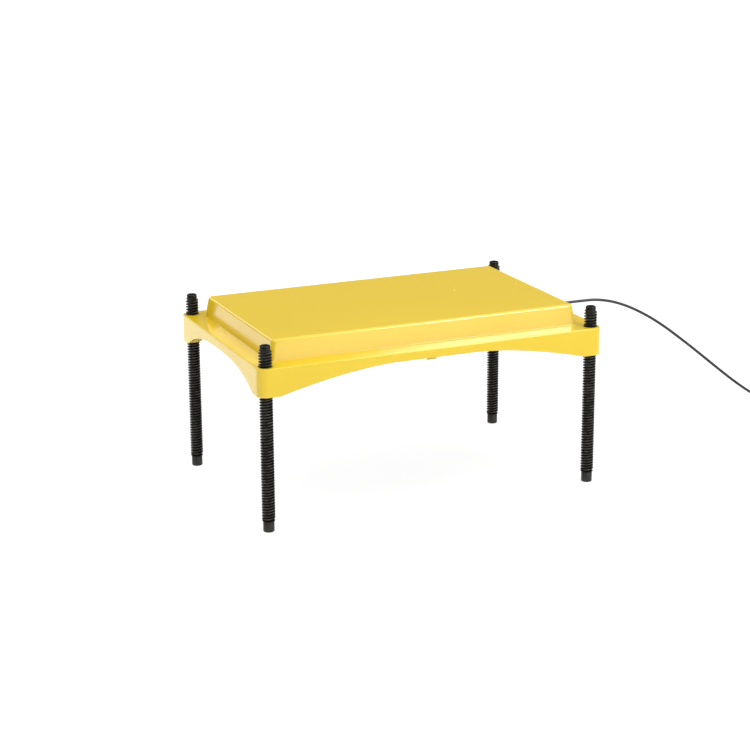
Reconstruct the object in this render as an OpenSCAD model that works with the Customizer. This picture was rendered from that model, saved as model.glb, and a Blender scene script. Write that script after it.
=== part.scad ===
// Heater plate for brooding chicks: a warm plate that stands on four screw-thread legs.
// The origin is on the floor under the middle of the plate. +X runs along the long side
// to the end where the cord leaves, +Y to the back and +Z up. Sizes are in millimetres.

/* [Plate] */
// Length of the plate over its skirt
plate_l = 440; // [400:1:520]
// Width of the plate over its skirt
plate_w = 280; // [256:1:340]
// Height of the flange's top face above the floor
flange_h = 197; // [150:1:200]
// Wall of the cover moulding
cover_wall = 2.5; // [2:0.1:3]
// Depth of the skirt at the corners
skirt_d = 34; // [28:1:44]
// Depth of the skirt at the middle of each side
arch_d = 11; // [10.5:0.5:16]
// Level stretch at the middle of a long side's arch
arch_flat = 100; // [40:1:160]
// Skirt left between an arch and the corner post
arch_end_gap = 2; // [1:0.5:8]

/* [Plateau] */
// Rise of the plateau above the flange
plateau_rise = 25; // [23:1:40]
// Width of the flange at the plate's ends
flange_end = 22.5; // [20:0.5:30]
// Width of the flange along the plate's long sides
flange_side = 25; // [20:0.5:28]
// Run of the plateau's sloped wall at the ends
slope_end = 4; // [2:0.5:10]
// Run of the plateau's sloped wall along the long sides
slope_side = 3.5; // [2:0.5:10]
// Radius of the plateau's corners, seen from above
plateau_r = 10; // [7:0.5:16]
// Rounding of the plateau's top edge
plateau_edge_r = 3; // [2:0.5:5]

/* [Cover details] */
// Width of a retaining tab
tab_w = 12; // [8:1:20]
// Thickness of a retaining tab
tab_t = 2.5; // [2:0.1:3]
// Distance of a retaining tab from the skirt's face
tab_inset = 15; // [14:0.5:17]
// Depth of a retaining tab's end below the flange's top face
tab_d = 17.5; // [15:0.5:24]
// Reach of the tab's hook under the panel
tab_hook = 1.6; // [1:0.1:2.5]
// Height of the tab's hook
tab_hook_h = 2.4; // [1.5:0.1:4]
// Diameter of a screw post inside the cover
post_d = 9; // [8:0.5:10]
// Distance of the end posts from the plateau's foot
post_end_gap = 25.5; // [20:0.5:30]
// Distance of the posts from the plateau's foot along the long sides
post_side_gap = 20; // [18:0.5:28]
// Thickness of a rib inside the plateau's roof
rib_t = 2; // [1.5:0.1:3]
// Distance of the outer ribs from the middle
rib_x = 100; // [60:1:115]

/* [Legs] */
// Distance of a leg's axis from the plate's edges, which is also the corners' radius
leg_inset = 11.5; // [11.2:0.1:13]
// Length of a leg with its foot
leg_len = 222; // [210:1:260]
// Outside diameter of a leg's thread
leg_d = 15.5; // [15:0.1:15.8]
// Root diameter of a leg's thread
leg_root_d = 11.6; // [11:0.1:12.4]
// Pitch of a leg's thread
leg_pitch = 3.4; // [3:0.05:4]
// Length of the plain upper end
leg_tip_l = 4.5; // [4:0.5:12]
// Diameter of the plain upper end
leg_tip_d = 12.4; // [12:0.1:13.2]
// Chamfer of a leg's upper end and of its foot
leg_chamfer = 1; // [0.5:0.1:2]
// Diameter of a swivel foot
foot_d = 13.2; // [12:0.1:13.6]
// Height of a swivel foot
foot_h = 12.5; // [10:0.5:20]
// Diameter of the spigot on a swivel foot
foot_pin_d = 5; // [4:0.1:6]
// Length of the spigot on a swivel foot
foot_pin_l = 9; // [6:0.5:14]
// Clearance of the spigot in the leg's socket
foot_gap = 0.35; // [0.3:0.05:0.5]
// Outside diameter of a threaded bush
bush_d = 19.4; // [19:0.1:20]
// Clearance of a bush in its corner post
bush_gap = 0.1; // [0.05:0.05:0.3]
// Radial clearance between the two threads
thread_gap = 0.7; // [0.65:0.05:0.8]
// Radial clearance of a leg in the cover's top skin
leg_hole_gap = 0.55; // [0.4:0.05:1]

/* [Underside] */
// Thickness of the base panel
panel_t = 3; // [2:0.1:3.5]
// Depth of the panel's underside below the flange's top face
panel_drop = 10; // [9.8:0.1:10.4]
// Clearance of the panel inside the skirt, posts and tabs
panel_gap = 0.7; // [0.4:0.1:1.2]
// Width of the edge seal
seal_w = 7; // [5:0.5:8]
// Distance of the edge seal from the skirt's inner face
seal_inset = 2; // [1:0.5:2.5]
// Diameter of a panel screw
screw_d = 3.5; // [3:0.1:4]
// Length of a panel screw under its head
screw_l = 14; // [10:1:20]
// Diameter of a panel screw's head
screw_head_d = 6.5; // [6:0.1:8]
// Height of a panel screw's head
screw_head_h = 2.2; // [1.5:0.1:2.6]
// Clearance of a screw in its hole
screw_gap = 0.1; // [0.05:0.05:0.3]

/* [Heater] */
// Distance of the heater from the plateau's foot at the ends
heater_end_gap = 29.5; // [28:0.5:40]
// Distance of the heater from the screw posts
heater_post_gap = 2.5; // [2:0.5:6]
// Thickness of the heat spreader
spreader_t = 1.5; // [1:0.1:2]
// Step of the mat inside the spreader's edge
mat_inset = 3; // [2:0.5:6]
// Thickness of the heater mat
mat_t = 1.5; // [1:0.1:2]
// Thickness of the heater track
track_t = 0.4; // [0.2:0.1:0.6]
// Width of the heater track
track_w = 3; // [2:0.5:4]
// Runs of the heater track
track_runs = 18; // [12:2:24]
// Edge of bare mat round the track
track_edge = 5; // [4:0.5:8]
// Thickness of the insulation board
board_t = 12; // [11.5:0.5:13]
// Length of the pocket in the insulation board
pocket_l = 42; // [36:1:50]
// Width of the pocket in the insulation board
pocket_w = 60; // [50:1:80]
// Diameter of the thermal cut-out
cutout_d = 16; // [14:0.5:18]
// Height of the thermal cut-out
cutout_h = 6; // [5:0.5:8]
// Width of the cut-out's clip
clip_w = 6; // [5:0.5:8]
// Thickness of the cut-out's clip
clip_t = 0.8; // [0.6:0.1:1]
// Diameter of an inner wire
wire_d = 1.8; // [1.5:0.1:2.2]

/* [Cord inlet] */
// Length of the terminal block along the cord
block_l = 13; // [12:0.5:14]
// Width of the terminal block
block_w = 20; // [16:0.5:24]
// Height of the terminal block
block_h = 10; // [9:0.5:12]
// Gap between the heater and the terminal block
block_gap = 5; // [4:0.5:6]
// Distance between the terminals
terminal_pitch = 9; // [8:0.5:10]
// Diameter of a terminal screw
terminal_d = 3; // [2.5:0.1:4]
// Length of the cord clamp along the cord
clamp_l = 5; // [4:0.5:5.5]
// Width of the cord clamp
clamp_w = 19; // [17:0.5:22]
// Wall of the cord clamp
clamp_wall = 1.5; // [1:0.1:2]
// Diameter of a clamp screw
clamp_screw_d = 2.5; // [2:0.1:3]
// Height of a clamp screw's head
clamp_head_h = 1.4; // [1:0.1:1.8]
// Length of the strain relief outside the skirt
relief_l = 24; // [20:1:50]
// Diameter of the strain relief at the skirt
relief_d = 9.4; // [8:0.1:10]
// Diameter of the strain relief's thin end
relief_tip_d = 5.4; // [5.2:0.1:6.5]
// Diameter of the strain relief's neck in the skirt
relief_neck_d = 6.4; // [6:0.1:6.6]

/* [Cord] */
// Diameter of the cord
cord_d = 3.6; // [3.5:0.1:4.2]
// Clearance of the cord in its sleeves
cord_gap = 0.08; // [0.05:0.01:0.15]
// Inner radius of the coil, at the cord's middle
coil_r = 18; // [17:0.5:20]
// Turns in each layer of the coil
layer_turns = 2; // [2:1:3]
// Gap between neighbouring turns of the coil
coil_gap = 0.5; // [0.45:0.05:0.8]
// Width of the coil's tie
tie_w = 5; // [4:0.5:8]
// Thickness of the coil's tie
tie_t = 1.2; // [1:0.1:1.3]

/* [Adapter] */
// Length of the adapter's body
adapter_l = 58; // [54:1:64]
// Width of the adapter's body
adapter_w = 44; // [40:1:48]
// Height of the adapter's body
adapter_h = 32; // [28:1:32]
// Wall of the adapter's shells
adapter_wall = 2; // [1.5:0.1:2.5]
// Corner radius of the adapter's body
adapter_r = 6; // [4:0.5:8]
// Length of the adapter's strain relief
adapter_relief_l = 22; // [20:1:26]
// Diameter of the adapter's strain relief at the body
adapter_relief_d = 8; // [7:0.1:9]
// Length of a blade outside the body
blade_l = 17; // [15:0.5:18]
// Height of a blade
blade_h = 6.3; // [6:0.1:7]
// Thickness of a blade
blade_t = 1.5; // [1.4:0.1:1.7]
// Distance between the blades
blade_pitch = 12.7; // [12:0.1:14]

/* [Hidden] */
$fn = 64;
// Overrun of every cut past the face it starts from
over = 1;
// Sides of one turn of a leg's thread and of a bush's thread
leg_sides = 10;
bush_sides = 16;
// Share of a turn over which a thread runs out, and its height at the very end
runout_share = 0.75;
runout_start_share = 0.12;
// Amount by which the wall round a foot's socket is slimmer than the thread's root
socket_inset = 0.1;
// Bend of the arches: a higher power keeps the middle level for longer
arch_long_power = 1.65;
arch_end_power = 3;
arch_steps = 14;
// Segments of a rounded plan corner and of the plateau's rounded edge
corner_steps = 8;
edge_steps = 5;
// Screw posts along each long side
posts_per_side = 4;

// Heights of the main faces
skirt_z = flange_h - skirt_d;
flange_in_z = flange_h - cover_wall;
roof_z = flange_h + plateau_rise;
roof_in_z = roof_z - cover_wall;
panel_z = flange_h - panel_drop;
panel_top_z = panel_z + panel_t;
mat_z = panel_top_z + spreader_t;
track_z = mat_z + mat_t;
board_z = track_z + track_t;
board_top_z = board_z + board_t;
cord_z = panel_top_z + cord_d / 2 + cord_gap;

// Plateau
foot_l = plate_l - 2 * flange_end;
foot_w = plate_w - 2 * flange_side;
post_x = foot_l / 2 - post_end_gap;
post_y = foot_w / 2 - post_side_gap;
posts = [for (i = [0:posts_per_side - 1], s = [-1, 1])
    [post_x * (2 * i / (posts_per_side - 1) - 1), s * post_y]];

// Legs
leg_x = plate_l / 2 - leg_inset;
leg_y = plate_w / 2 - leg_inset;
thread_z = foot_h;
thread_top_z = leg_len - leg_tip_l;
tab_y = plate_w / 2 - tab_inset - tab_t / 2;

// Heater
spreader_l = foot_l - 2 * heater_end_gap;
spreader_w = 2 * (post_y - post_d / 2 - heater_post_gap);
spreader_r = 4;
mat_l = spreader_l - 2 * mat_inset;
mat_w = spreader_w - 2 * mat_inset;
track_l = mat_l - 2 * track_edge;
track_span = mat_w - 2 * track_edge - track_w;
track_pitch = track_span / (track_runs - 1);
cutout_x = mat_l / 2 - pocket_l / 2;
cutout_tab_l = 7;
cutout_tab_w = 4.8;
cutout_tab_t = 0.8;
clip_foot_l = 5;
clip_gap = 0.1;

// Cord inlet
block_x = spreader_l / 2 + block_gap;
block_end_x = block_x + block_l;
terminal_z = panel_top_z + block_h / 2;
clamp_gap = 1.5;
clamp_x = block_end_x + clamp_gap;
clamp_pin_y = clamp_w / 2 - clamp_screw_d;
clamp_foot_h = 2;
clamp_head_d = clamp_screw_d * 1.8;
exit_x = plate_l / 2;
relief_collar_l = 2;
relief_collar_w = 9;
relief_collar_h = flange_in_z - panel_top_z;
level_l = 50;

// Cord route from the clamp, through the strain relief, down to the floor and to the coil
cord_sides = 10;
coil_sides = 6;
ring_steps = 24;
cord_route = [
    [block_end_x, 0, cord_z],
    [exit_x, 0, cord_z],
    [exit_x + level_l, 0, cord_z],
    [290, 0, 191],
    [312, 0, 186.5],
    [334, 0, 178.5],
    [355, 0, 168],
    [376, 0, 155.5],
    [397, 0, 141],
    [418, 0, 125],
    [439, 0, 108.5],
    [460, 0, 91.5],
    [481, 0, 74.5],
    [502, 0, 58],
    [524, 0, 42],
    [547, 0, 27.5],
    [571, 0, 15],
    [594, 0, 7],
    [614, 0, 4],
    [628, 0, 3.7],
    [640, 0, 3.7]
];

// Coil: the cord spirals in and out again, one layer on the other
coil_layers = 4;
coil_step = cord_d + coil_gap;
coil_start = cord_route[len(cord_route) - 1];
coil_lead = 5;
coil_out_r = coil_r + coil_step * layer_turns;
coil_x = coil_start[0] + coil_lead;
coil_y = coil_start[1] - coil_out_r;
coil_z = coil_start[2];
coil_turns = coil_layers * layer_turns + 0.5;
coil_top_z = coil_z + (coil_layers - 1) * coil_step;
// The cord from the coil's top to the adapter
adapter_x = 574;
adapter_y = -90;
adapter_z = adapter_h / 2;
tail_route = [
    [635, -58.5, 16.3],
    [625.5, -67.5, 16.2],
    [616, -78, 16.1],
    [606, -86.5, 16],
    [adapter_x + adapter_relief_l, adapter_y, adapter_z],
    [adapter_x - 2 * adapter_wall, adapter_y, adapter_z]
];
tie_gap = 0.4;
tie_r = 1.5;

// Adapter
adapter_neck_d = 5.6;
adapter_collar_d = 7;
adapter_tip_d = 5.4;
core_l = 30;
core_w = 34;
core_h = 24;
winding_l = 20;
winding_w = 22;
blade_tail = 5;
blade_stop = 1.5;
blade_gap = 0.05;

// Plain helpers

function unit(v) = v / norm(v);

// A smooth step from 0 to 1
function ease(t) = let (c = max(0, min(1, t))) c * c * (3 - 2 * c);

// The corners' signs, in the order of the leg nodes
function corner(i) = [i % 2 == 0 ? -1 : 1, i < 2 ? -1 : 1];

// A rectangle with round corners, centred
module round_rect(l, w, r) {
    translate([r - l / 2, r - w / 2]) square([l - 2 * r, w - 2 * r]);
    for (i = [0, 1]) {
        translate([r - l / 2, i == 0 ? -w / 2 : w / 2 - r]) square([l - 2 * r, r]);
        translate([i == 0 ? -l / 2 : l / 2 - r, r - w / 2]) square([r, w - 2 * r]);
    }
    for (i = [0:3])
        translate([corner(i)[0] * (l / 2 - r), corner(i)[1] * (w / 2 - r)]) circle(r);
}

// The points of a rectangle with round corners, counter-clockwise, at height z
function ring_points(l, w, r, z) = [
    for (q = [0:3], i = [0:corner_steps])
        let (a = 90 * (q + i / corner_steps), sx = q == 0 || q == 3 ? 1 : -1, sy = q < 2 ? 1 : -1)
        [sx * (l / 2 - r) + r * cos(a), sy * (w / 2 - r) + r * sin(a), z]
];

// A closed body through rings of equally many points, from the lowest up
module loft(rings) {
    n = len(rings[0]);
    last = (len(rings) - 1) * n;
    polyhedron(
        points = [for (ring = rings) each ring],
        faces = concat(
            [[for (k = [0:n - 1]) k]],
            [[for (k = [n - 1:-1:0]) last + k]],
            [for (i = [0:len(rings) - 2], k = [0:n - 1])
                let (a = i * n + k, b = i * n + (k + 1) % n) each [[a, a + n, b], [b, a + n, b + n]]]
        )
    );
}

// A tube of round section along a list of points. The reference is never along the route.
module tube(route, d, sides, reference) {
    last = len(route) - 1;
    dirs = [for (i = [0:last])
        i == 0 ? unit(route[1] - route[0])
        : i == last ? unit(route[last] - route[last - 1])
        : unit(unit(route[i + 1] - route[i]) + unit(route[i] - route[i - 1]))];
    base = last * sides;
    polyhedron(
        points = [for (i = [0:last])
            let (s = unit(cross(dirs[i], reference)), u = cross(s, dirs[i]))
            for (k = [0:sides - 1])
                route[i] + d / 2 * (cos(360 * k / sides) * s + sin(360 * k / sides) * u)],
        faces = concat(
            [for (k = [1:sides - 2]) [0, k + 1, k]],
            [for (k = [1:sides - 2]) [base, base + k, base + k + 1]],
            [for (i = [0:last - 1], k = [0:sides - 1])
                let (a = i * sides + k, b = i * sides + (k + 1) % sides)
                each [[a, b, a + sides], [b, b + sides, a + sides]]]
        )
    );
}

// A right-hand V thread on the Z axis, whose roots pass +X at whole pitches above z
module thread(root_r, crest_r, z, z_end, sides) {
    steps = floor((z_end - z) / leg_pitch * sides) - sides;
    roots = steps + sides + 1;
    fade = runout_share * sides;
    function height(i) =
        max(runout_start_share, min(1, i / fade, (steps - i) / fade)) * (crest_r - root_r);
    function at(r, i, lift) =
        [r * cos(360 * i / sides), r * sin(360 * i / sides), z + leg_pitch * (i / sides + lift)];
    low = roots + steps + 1;
    high = low + 1;
    polyhedron(
        points = concat(
            [for (i = [0:roots - 1]) at(root_r, i, 0)],
            [for (i = [0:steps]) at(root_r + height(i), i, 0.5)],
            [[0, 0, z], [0, 0, z + leg_pitch * (steps / sides + 1)]]
        ),
        faces = concat(
            [for (i = [0:steps - 1]) let (c = roots + i)
                each [[i, c + 1, i + 1], [i, c, c + 1],
                    [c, i + 1 + sides, c + 1], [c, i + sides, i + 1 + sides]]],
            [for (i = [0:sides - 1]) [low, i, i + 1]],
            [[low, sides, 0], [0, sides, roots]],
            [for (i = [0:sides - 1]) [high, steps + i + 1, steps + i]],
            [[high, steps, steps + sides], [steps, roots + steps, steps + sides]]
        )
    );
}

// Cover

// The plateau's body, drawn in by inset on every side
module plateau(inset, low_z, edge_r) {
    rise = plateau_rise - inset;
    function ring_at(h, round_in) = ring_points(
        foot_l - 2 * (inset + round_in + slope_end * h / plateau_rise),
        foot_w - 2 * (inset + round_in + slope_side * h / plateau_rise),
        max(plateau_r - inset - round_in, edge_r / edge_steps),
        flange_h + h
    );
    loft(concat(
        [ring_points(foot_l - 2 * inset, foot_w - 2 * inset, plateau_r - inset, low_z)],
        [ring_at(0, 0)],
        [for (i = [0:edge_steps])
            let (a = 90 * i / edge_steps) ring_at(rise - edge_r * (1 - sin(a)), edge_r * (1 - cos(a)))]
    ));
}

// The outline of an arch under one side: its half length, level half stretch and power
module arch_outline(half, flat_half, power) {
    function depth(s) = arch_d + (skirt_d - arch_d) * pow(s, power);
    side = [for (i = [0:arch_steps])
        let (s = i / arch_steps) [flat_half + (half - flat_half) * s, -depth(s)]];
    polygon(concat(
        side,
        [[half, -skirt_d - over], [-half, -skirt_d - over]],
        [for (i = [arch_steps:-1:0]) [-side[i][0], side[i][1]]]
    ));
}

module arches() {
    translate([0, plate_w / 2 + over, flange_h]) rotate([90, 0, 0])
        linear_extrude(plate_w + 2 * over)
            arch_outline(plate_l / 2 - 2 * leg_inset - arch_end_gap, arch_flat / 2, arch_long_power);
    translate([-plate_l / 2 - over, 0, flange_h]) rotate([90, 0, 90])
        linear_extrude(plate_l + 2 * over)
            arch_outline(plate_w / 2 - 2 * leg_inset - arch_end_gap, over, arch_end_power);
}

// Places its children at a leg's axis
module at_leg(i) {
    translate([corner(i)[0] * leg_x, corner(i)[1] * leg_y]) children();
}

// The inside of the skirt, without the corner posts, grown or drawn in by gap
module skirt_inside(gap) {
    difference() {
        round_rect(plate_l - 2 * (cover_wall + gap), plate_w - 2 * (cover_wall + gap),
            leg_inset - cover_wall);
        for (i = [0:3]) at_leg(i) circle(leg_inset + gap);
    }
}

module cover_shell() {
    difference() {
        union() {
            translate([0, 0, skirt_z]) linear_extrude(skirt_d) round_rect(plate_l, plate_w, leg_inset);
            plateau(0, flange_h - cover_wall / 2, plateau_edge_r);
        }
        translate([0, 0, skirt_z - over]) linear_extrude(flange_in_z - skirt_z + over) skirt_inside(0);
        plateau(cover_wall, flange_in_z - over, plateau_edge_r - cover_wall / 2);
        arches();
        for (i = [0:3]) at_leg(i) {
            translate([0, 0, skirt_z - over])
                cylinder(d = bush_d + 2 * bush_gap, h = flange_in_z - skirt_z + over);
            translate([0, 0, skirt_z]) cylinder(d = leg_d + 2 * leg_hole_gap, h = skirt_d + over);
        }
        translate([exit_x - cover_wall - over, 0, cord_z]) rotate([0, 90, 0])
            cylinder(d = relief_neck_d + 2 * cord_gap, h = cover_wall + 2 * over);
    }
}

// A retaining tab with its hook, on the side that s names
module tab(s) {
    top_z = flange_in_z + cover_wall / 2;
    low_z = flange_h - tab_d;
    translate([-tab_w / 2, s * tab_y - tab_t / 2, low_z]) cube([tab_w, tab_t, top_z - low_z]);
    translate([-tab_w / 2, s * tab_y - (s > 0 ? tab_t / 2 + tab_hook : -tab_t / 2 + over / 2),
        panel_z - tab_hook_h])
        cube([tab_w, tab_hook + over / 2, tab_hook_h]);
}

module top_cover() {
    color("gold") {
        cover_shell();
        for (p = posts) translate([p[0], p[1], panel_top_z]) difference() {
            cylinder(d = post_d, h = roof_in_z + cover_wall / 2 - panel_top_z);
            translate([0, 0, -over])
                cylinder(d = screw_d + 2 * screw_gap, h = screw_l - panel_t + 2 * over);
        }
        for (s = [-1, 0, 1])
            translate([s * rib_x - rib_t / 2, -mat_w / 2, board_top_z])
                cube([rib_t, mat_w, roof_in_z + cover_wall / 2 - board_top_z]);
        for (s = [-1, 1]) tab(s);
    }
}

// Underside

module base_panel() {
    color([0.1, 0.1, 0.1]) translate([0, 0, panel_z]) linear_extrude(panel_t) difference() {
        skirt_inside(panel_gap);
        for (p = posts) translate(p) circle(d = screw_d + 2 * screw_gap);
        for (s = [-1, 1])
            translate([-tab_w / 2 - panel_gap, s * tab_y - tab_t / 2 - panel_gap])
                square([tab_w + 2 * panel_gap, tab_t + 2 * panel_gap]);
    }
}

module edge_seal() {
    gap = cover_wall + seal_inset;
    inner = gap + seal_w;
    color([0.2, 0.2, 0.22]) translate([0, 0, panel_top_z])
        linear_extrude(flange_in_z - panel_top_z) difference() {
            square([plate_l - 2 * gap, plate_w - 2 * gap], center = true);
            square([plate_l - 2 * inner, plate_w - 2 * inner], center = true);
            for (i = [0:3]) at_leg(i) circle(leg_inset + seal_inset);
            translate([0, -relief_collar_w]) square([plate_l, 2 * relief_collar_w]);
        }
}

// A pan-head screw on the Z axis, with its head under z = 0 and a cross in the head
module pan_screw(d, l, head_d, head_h) {
    slot_share = 0.16;
    difference() {
        union() {
            cylinder(d = d, h = l);
            translate([0, 0, -head_h]) cylinder(d = head_d, h = head_h);
        }
        for (a = [0, 90]) rotate(a)
            translate([-head_d / 3, -head_d * slot_share / 2, -head_h - over])
                cube([2 * head_d / 3, head_d * slot_share, head_h / 2 + over]);
    }
}

module panel_screws() {
    color("silver") for (p = posts) translate([p[0], p[1], panel_z])
        pan_screw(screw_d, screw_l, screw_head_d, screw_head_h);
}

// Heater

module heat_spreader() {
    color("lightgray") translate([0, 0, panel_top_z])
        linear_extrude(spreader_t) round_rect(spreader_l, spreader_w, spreader_r);
}

module heater_mat() {
    color([0.72, 0.32, 0.16]) translate([0, 0, mat_z])
        linear_extrude(mat_t) round_rect(mat_l, mat_w, spreader_r - mat_inset / 2);
}

// One track that runs to and fro along the mat and has both ends at the cord's side
module heater_track() {
    color("goldenrod") translate([0, 0, track_z]) linear_extrude(track_t)
        for (i = [0:track_runs - 1]) {
            y = i * track_pitch - track_span / 2 - track_w / 2;
            translate([-track_l / 2, y]) square([track_l, track_w]);
            if (i < track_runs - 1)
                translate([i % 2 == 0 ? -track_l / 2 : track_l / 2 - track_w, y])
                    square([track_w, track_pitch + track_w]);
        }
}

module insulation_board() {
    color([0.85, 0.82, 0.7]) translate([0, 0, board_z]) linear_extrude(board_t) difference() {
        square([mat_l, mat_w], center = true);
        translate([mat_l / 2 - pocket_l, -pocket_w / 2]) square([pocket_l + over, pocket_w]);
        for (s = [-1, 1])
            translate([mat_l / 2 - pocket_l / 3, s > 0 ? mat_w / 2 - pocket_l / 3 : -mat_w / 2 - over])
                square([pocket_l / 3 + over, pocket_l / 3 + over]);
    }
}

module thermal_cutout() {
    color([0.25, 0.25, 0.27]) translate([cutout_x, 0, board_z]) {
        cylinder(d = cutout_d, h = cutout_h);
        for (s = [-1, 1])
            translate([-cutout_tab_w / 2, s * cutout_d / 2 - (s > 0 ? over : cutout_tab_l), cutout_h / 2])
                cube([cutout_tab_w, cutout_tab_l + over, cutout_tab_t]);
    }
}

// A spring strip over the cut-out, with a foot on the mat at each side
module cutout_clip() {
    half = cutout_d / 2 + clip_gap;
    color("silver") translate([cutout_x, clip_w / 2, board_z]) rotate([90, 0, 0])
        linear_extrude(clip_w) {
            translate([-half - clip_t, cutout_h]) square([2 * (half + clip_t), clip_t]);
            for (s = [-1, 1]) {
                translate([s > 0 ? half : -half - clip_t, 0]) square([clip_t, cutout_h + clip_t]);
                translate([s > 0 ? half : -half - clip_foot_l, 0]) square([clip_foot_l, clip_t]);
            }
        }
}

// Cord inlet

module terminal_block() {
    color("ivory") translate([block_x, 0, panel_top_z]) difference() {
        translate([0, -block_w / 2, 0]) cube([block_l, block_w, block_h]);
        for (s = [-1, 1]) translate([0, s * terminal_pitch / 2, 0]) {
            translate([-over, 0, block_h / 2]) rotate([0, 90, 0])
                cylinder(d = wire_d + 2 * screw_gap, h = block_l / 2 + over);
            translate([block_l / 2, 0, block_h / 2])
                cylinder(d = terminal_d + 2 * screw_gap, h = block_h);
        }
    }
}

module terminal_screws() {
    color("goldenrod") for (s = [-1, 1])
        translate([block_x + block_l / 2, s * terminal_pitch / 2, terminal_z]) difference() {
            cylinder(d = terminal_d, h = block_h / 2);
            translate([-terminal_d, -terminal_d / 8, block_h / 2 - terminal_d / 4])
                cube([2 * terminal_d, terminal_d / 4, terminal_d]);
        }
}

// A wire from a terminal, which first runs back towards the heater
module inner_wire(points) {
    tube(points, wire_d, coil_sides, [0, 0, 1]);
}

wire_end_x = block_x + block_l / 4;
wire_bend_x = block_x - block_gap / 2;
wire_r = wire_d / 2;
track_end_x = track_l / 2 - track_w;
track_end_y = track_span / 2;

// The lowest that a wire lies on the track
wire_low_z = board_z + wire_r;
tab_top_z = board_z + cutout_h / 2 + cutout_tab_t + wire_r;
tab_wire_y = cutout_d / 2 + cutout_tab_l / 2;

module live_wire() {
    y = terminal_pitch / 2;
    color("saddlebrown") inner_wire([
        [wire_end_x, y, terminal_z],
        [wire_bend_x, y, terminal_z],
        [wire_bend_x - block_gap, y + block_gap, tab_top_z + wire_d],
        [cutout_x + cutout_tab_w, tab_wire_y, tab_top_z],
        [cutout_x - cutout_tab_w / 2, tab_wire_y, tab_top_z]
    ]);
}

module link_wire() {
    bend_x = mat_l / 2 - pocket_l / 6;
    color("darkorange") inner_wire([
        [cutout_x - cutout_tab_w / 2, -tab_wire_y, tab_top_z],
        [cutout_x + cutout_tab_w, -tab_wire_y, tab_top_z],
        [mat_l / 2 + wire_d, -tab_wire_y - block_gap, tab_top_z],
        [mat_l / 2 + wire_d, block_gap - track_end_y, wire_low_z + wire_d],
        [bend_x, -track_end_y, wire_low_z],
        [track_end_x - wire_d, -track_end_y, wire_low_z]
    ]);
}

module return_wire() {
    y = terminal_pitch / 2;
    bend_x = mat_l / 2 - pocket_l / 6;
    color("royalblue") inner_wire([
        [wire_end_x, -y, terminal_z],
        [wire_bend_x, -y, terminal_z],
        [wire_bend_x - wire_r, block_gap, terminal_z + 2 * wire_d],
        [mat_l / 2 + wire_d, track_end_y - block_gap, wire_low_z + wire_d],
        [bend_x, track_end_y, wire_low_z],
        [track_end_x - wire_d, track_end_y, wire_low_z]
    ]);
}

// A saddle over the cord, with a flat foot at each side
module cord_clamp() {
    hole_r = cord_d / 2 + cord_gap;
    lift = cord_z - panel_top_z;
    color([0.3, 0.3, 0.32]) translate([clamp_x, 0, panel_top_z]) difference() {
        rotate([90, 0, 90]) linear_extrude(clamp_l) difference() {
            union() {
                translate([-clamp_w / 2, 0]) square([clamp_w, clamp_foot_h]);
                translate([-hole_r - clamp_wall, 0]) square([2 * (hole_r + clamp_wall), lift]);
                translate([0, lift]) circle(hole_r + clamp_wall);
            }
            translate([0, lift]) circle(hole_r);
            translate([-hole_r, -over]) square([2 * hole_r, lift + over]);
        }
        for (s = [-1, 1]) translate([clamp_l / 2, s * clamp_pin_y, -over])
            cylinder(d = clamp_screw_d + 2 * screw_gap, h = clamp_foot_h + 2 * over);
        translate([-over, -clamp_w, -2 * hole_r]) cube([clamp_l + 2 * over, 2 * clamp_w, 2 * hole_r]);
    }
}

module clamp_screws() {
    color("silver") for (s = [-1, 1])
        translate([clamp_x + clamp_l / 2, s * clamp_pin_y, panel_top_z + clamp_foot_h])
            rotate([180, 0, 0])
                pan_screw(clamp_screw_d, clamp_foot_h, clamp_head_d, clamp_head_h);
}

// A tapered sleeve whose neck passes the skirt and whose collar lies inside it
module strain_relief() {
    bore_r = cord_d / 2 + cord_gap;
    color([0.12, 0.12, 0.12]) {
        translate([exit_x, 0, cord_z]) rotate([0, 90, 0]) rotate_extrude() polygon([
            [bore_r, -cover_wall], [relief_neck_d / 2, -cover_wall], [relief_neck_d / 2, 0],
            [relief_d / 2, 0], [relief_d / 2, relief_l / 6], [relief_tip_d / 2, relief_l],
            [bore_r, relief_l]
        ]);
        translate([exit_x - cover_wall - relief_collar_l, 0, panel_top_z])
            rotate([90, 0, 90]) linear_extrude(relief_collar_l) difference() {
                translate([-relief_collar_w / 2, 0]) square([relief_collar_w, relief_collar_h]);
                translate([0, cord_z - panel_top_z]) circle(bore_r);
                translate([-bore_r, -over]) square([2 * bore_r, cord_z - panel_top_z + over]);
            }
    }
}

// Cord

module cord_run() {
    color([0.08, 0.08, 0.08]) tube(cord_route, cord_d, cord_sides, [0, 1, 0]);
}

// The coil's radius and layer after a number of turns
function coil_radius(t) =
    let (v = t % (2 * layer_turns))
    t >= coil_layers * layer_turns ? coil_out_r + coil_step * (t - coil_layers * layer_turns)
    : v < layer_turns ? coil_out_r - coil_step * v
    : coil_r + coil_step * (v - layer_turns);
climb_share = 0.5;
function coil_layer(t) = ease((t - layer_turns) / climb_share + 0.5)
    + ease((t - 2 * layer_turns) / climb_share + 0.5)
    + ease((t - 3 * layer_turns) / climb_share + 0.5);
coil_route = concat(
    [coil_start],
    [for (i = [0:coil_turns * ring_steps]) let (t = i / ring_steps, r = coil_radius(t))
        [coil_x + r * sin(360 * t), coil_y + r * cos(360 * t), coil_z + coil_step * coil_layer(t)]],
    tail_route
);

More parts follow.
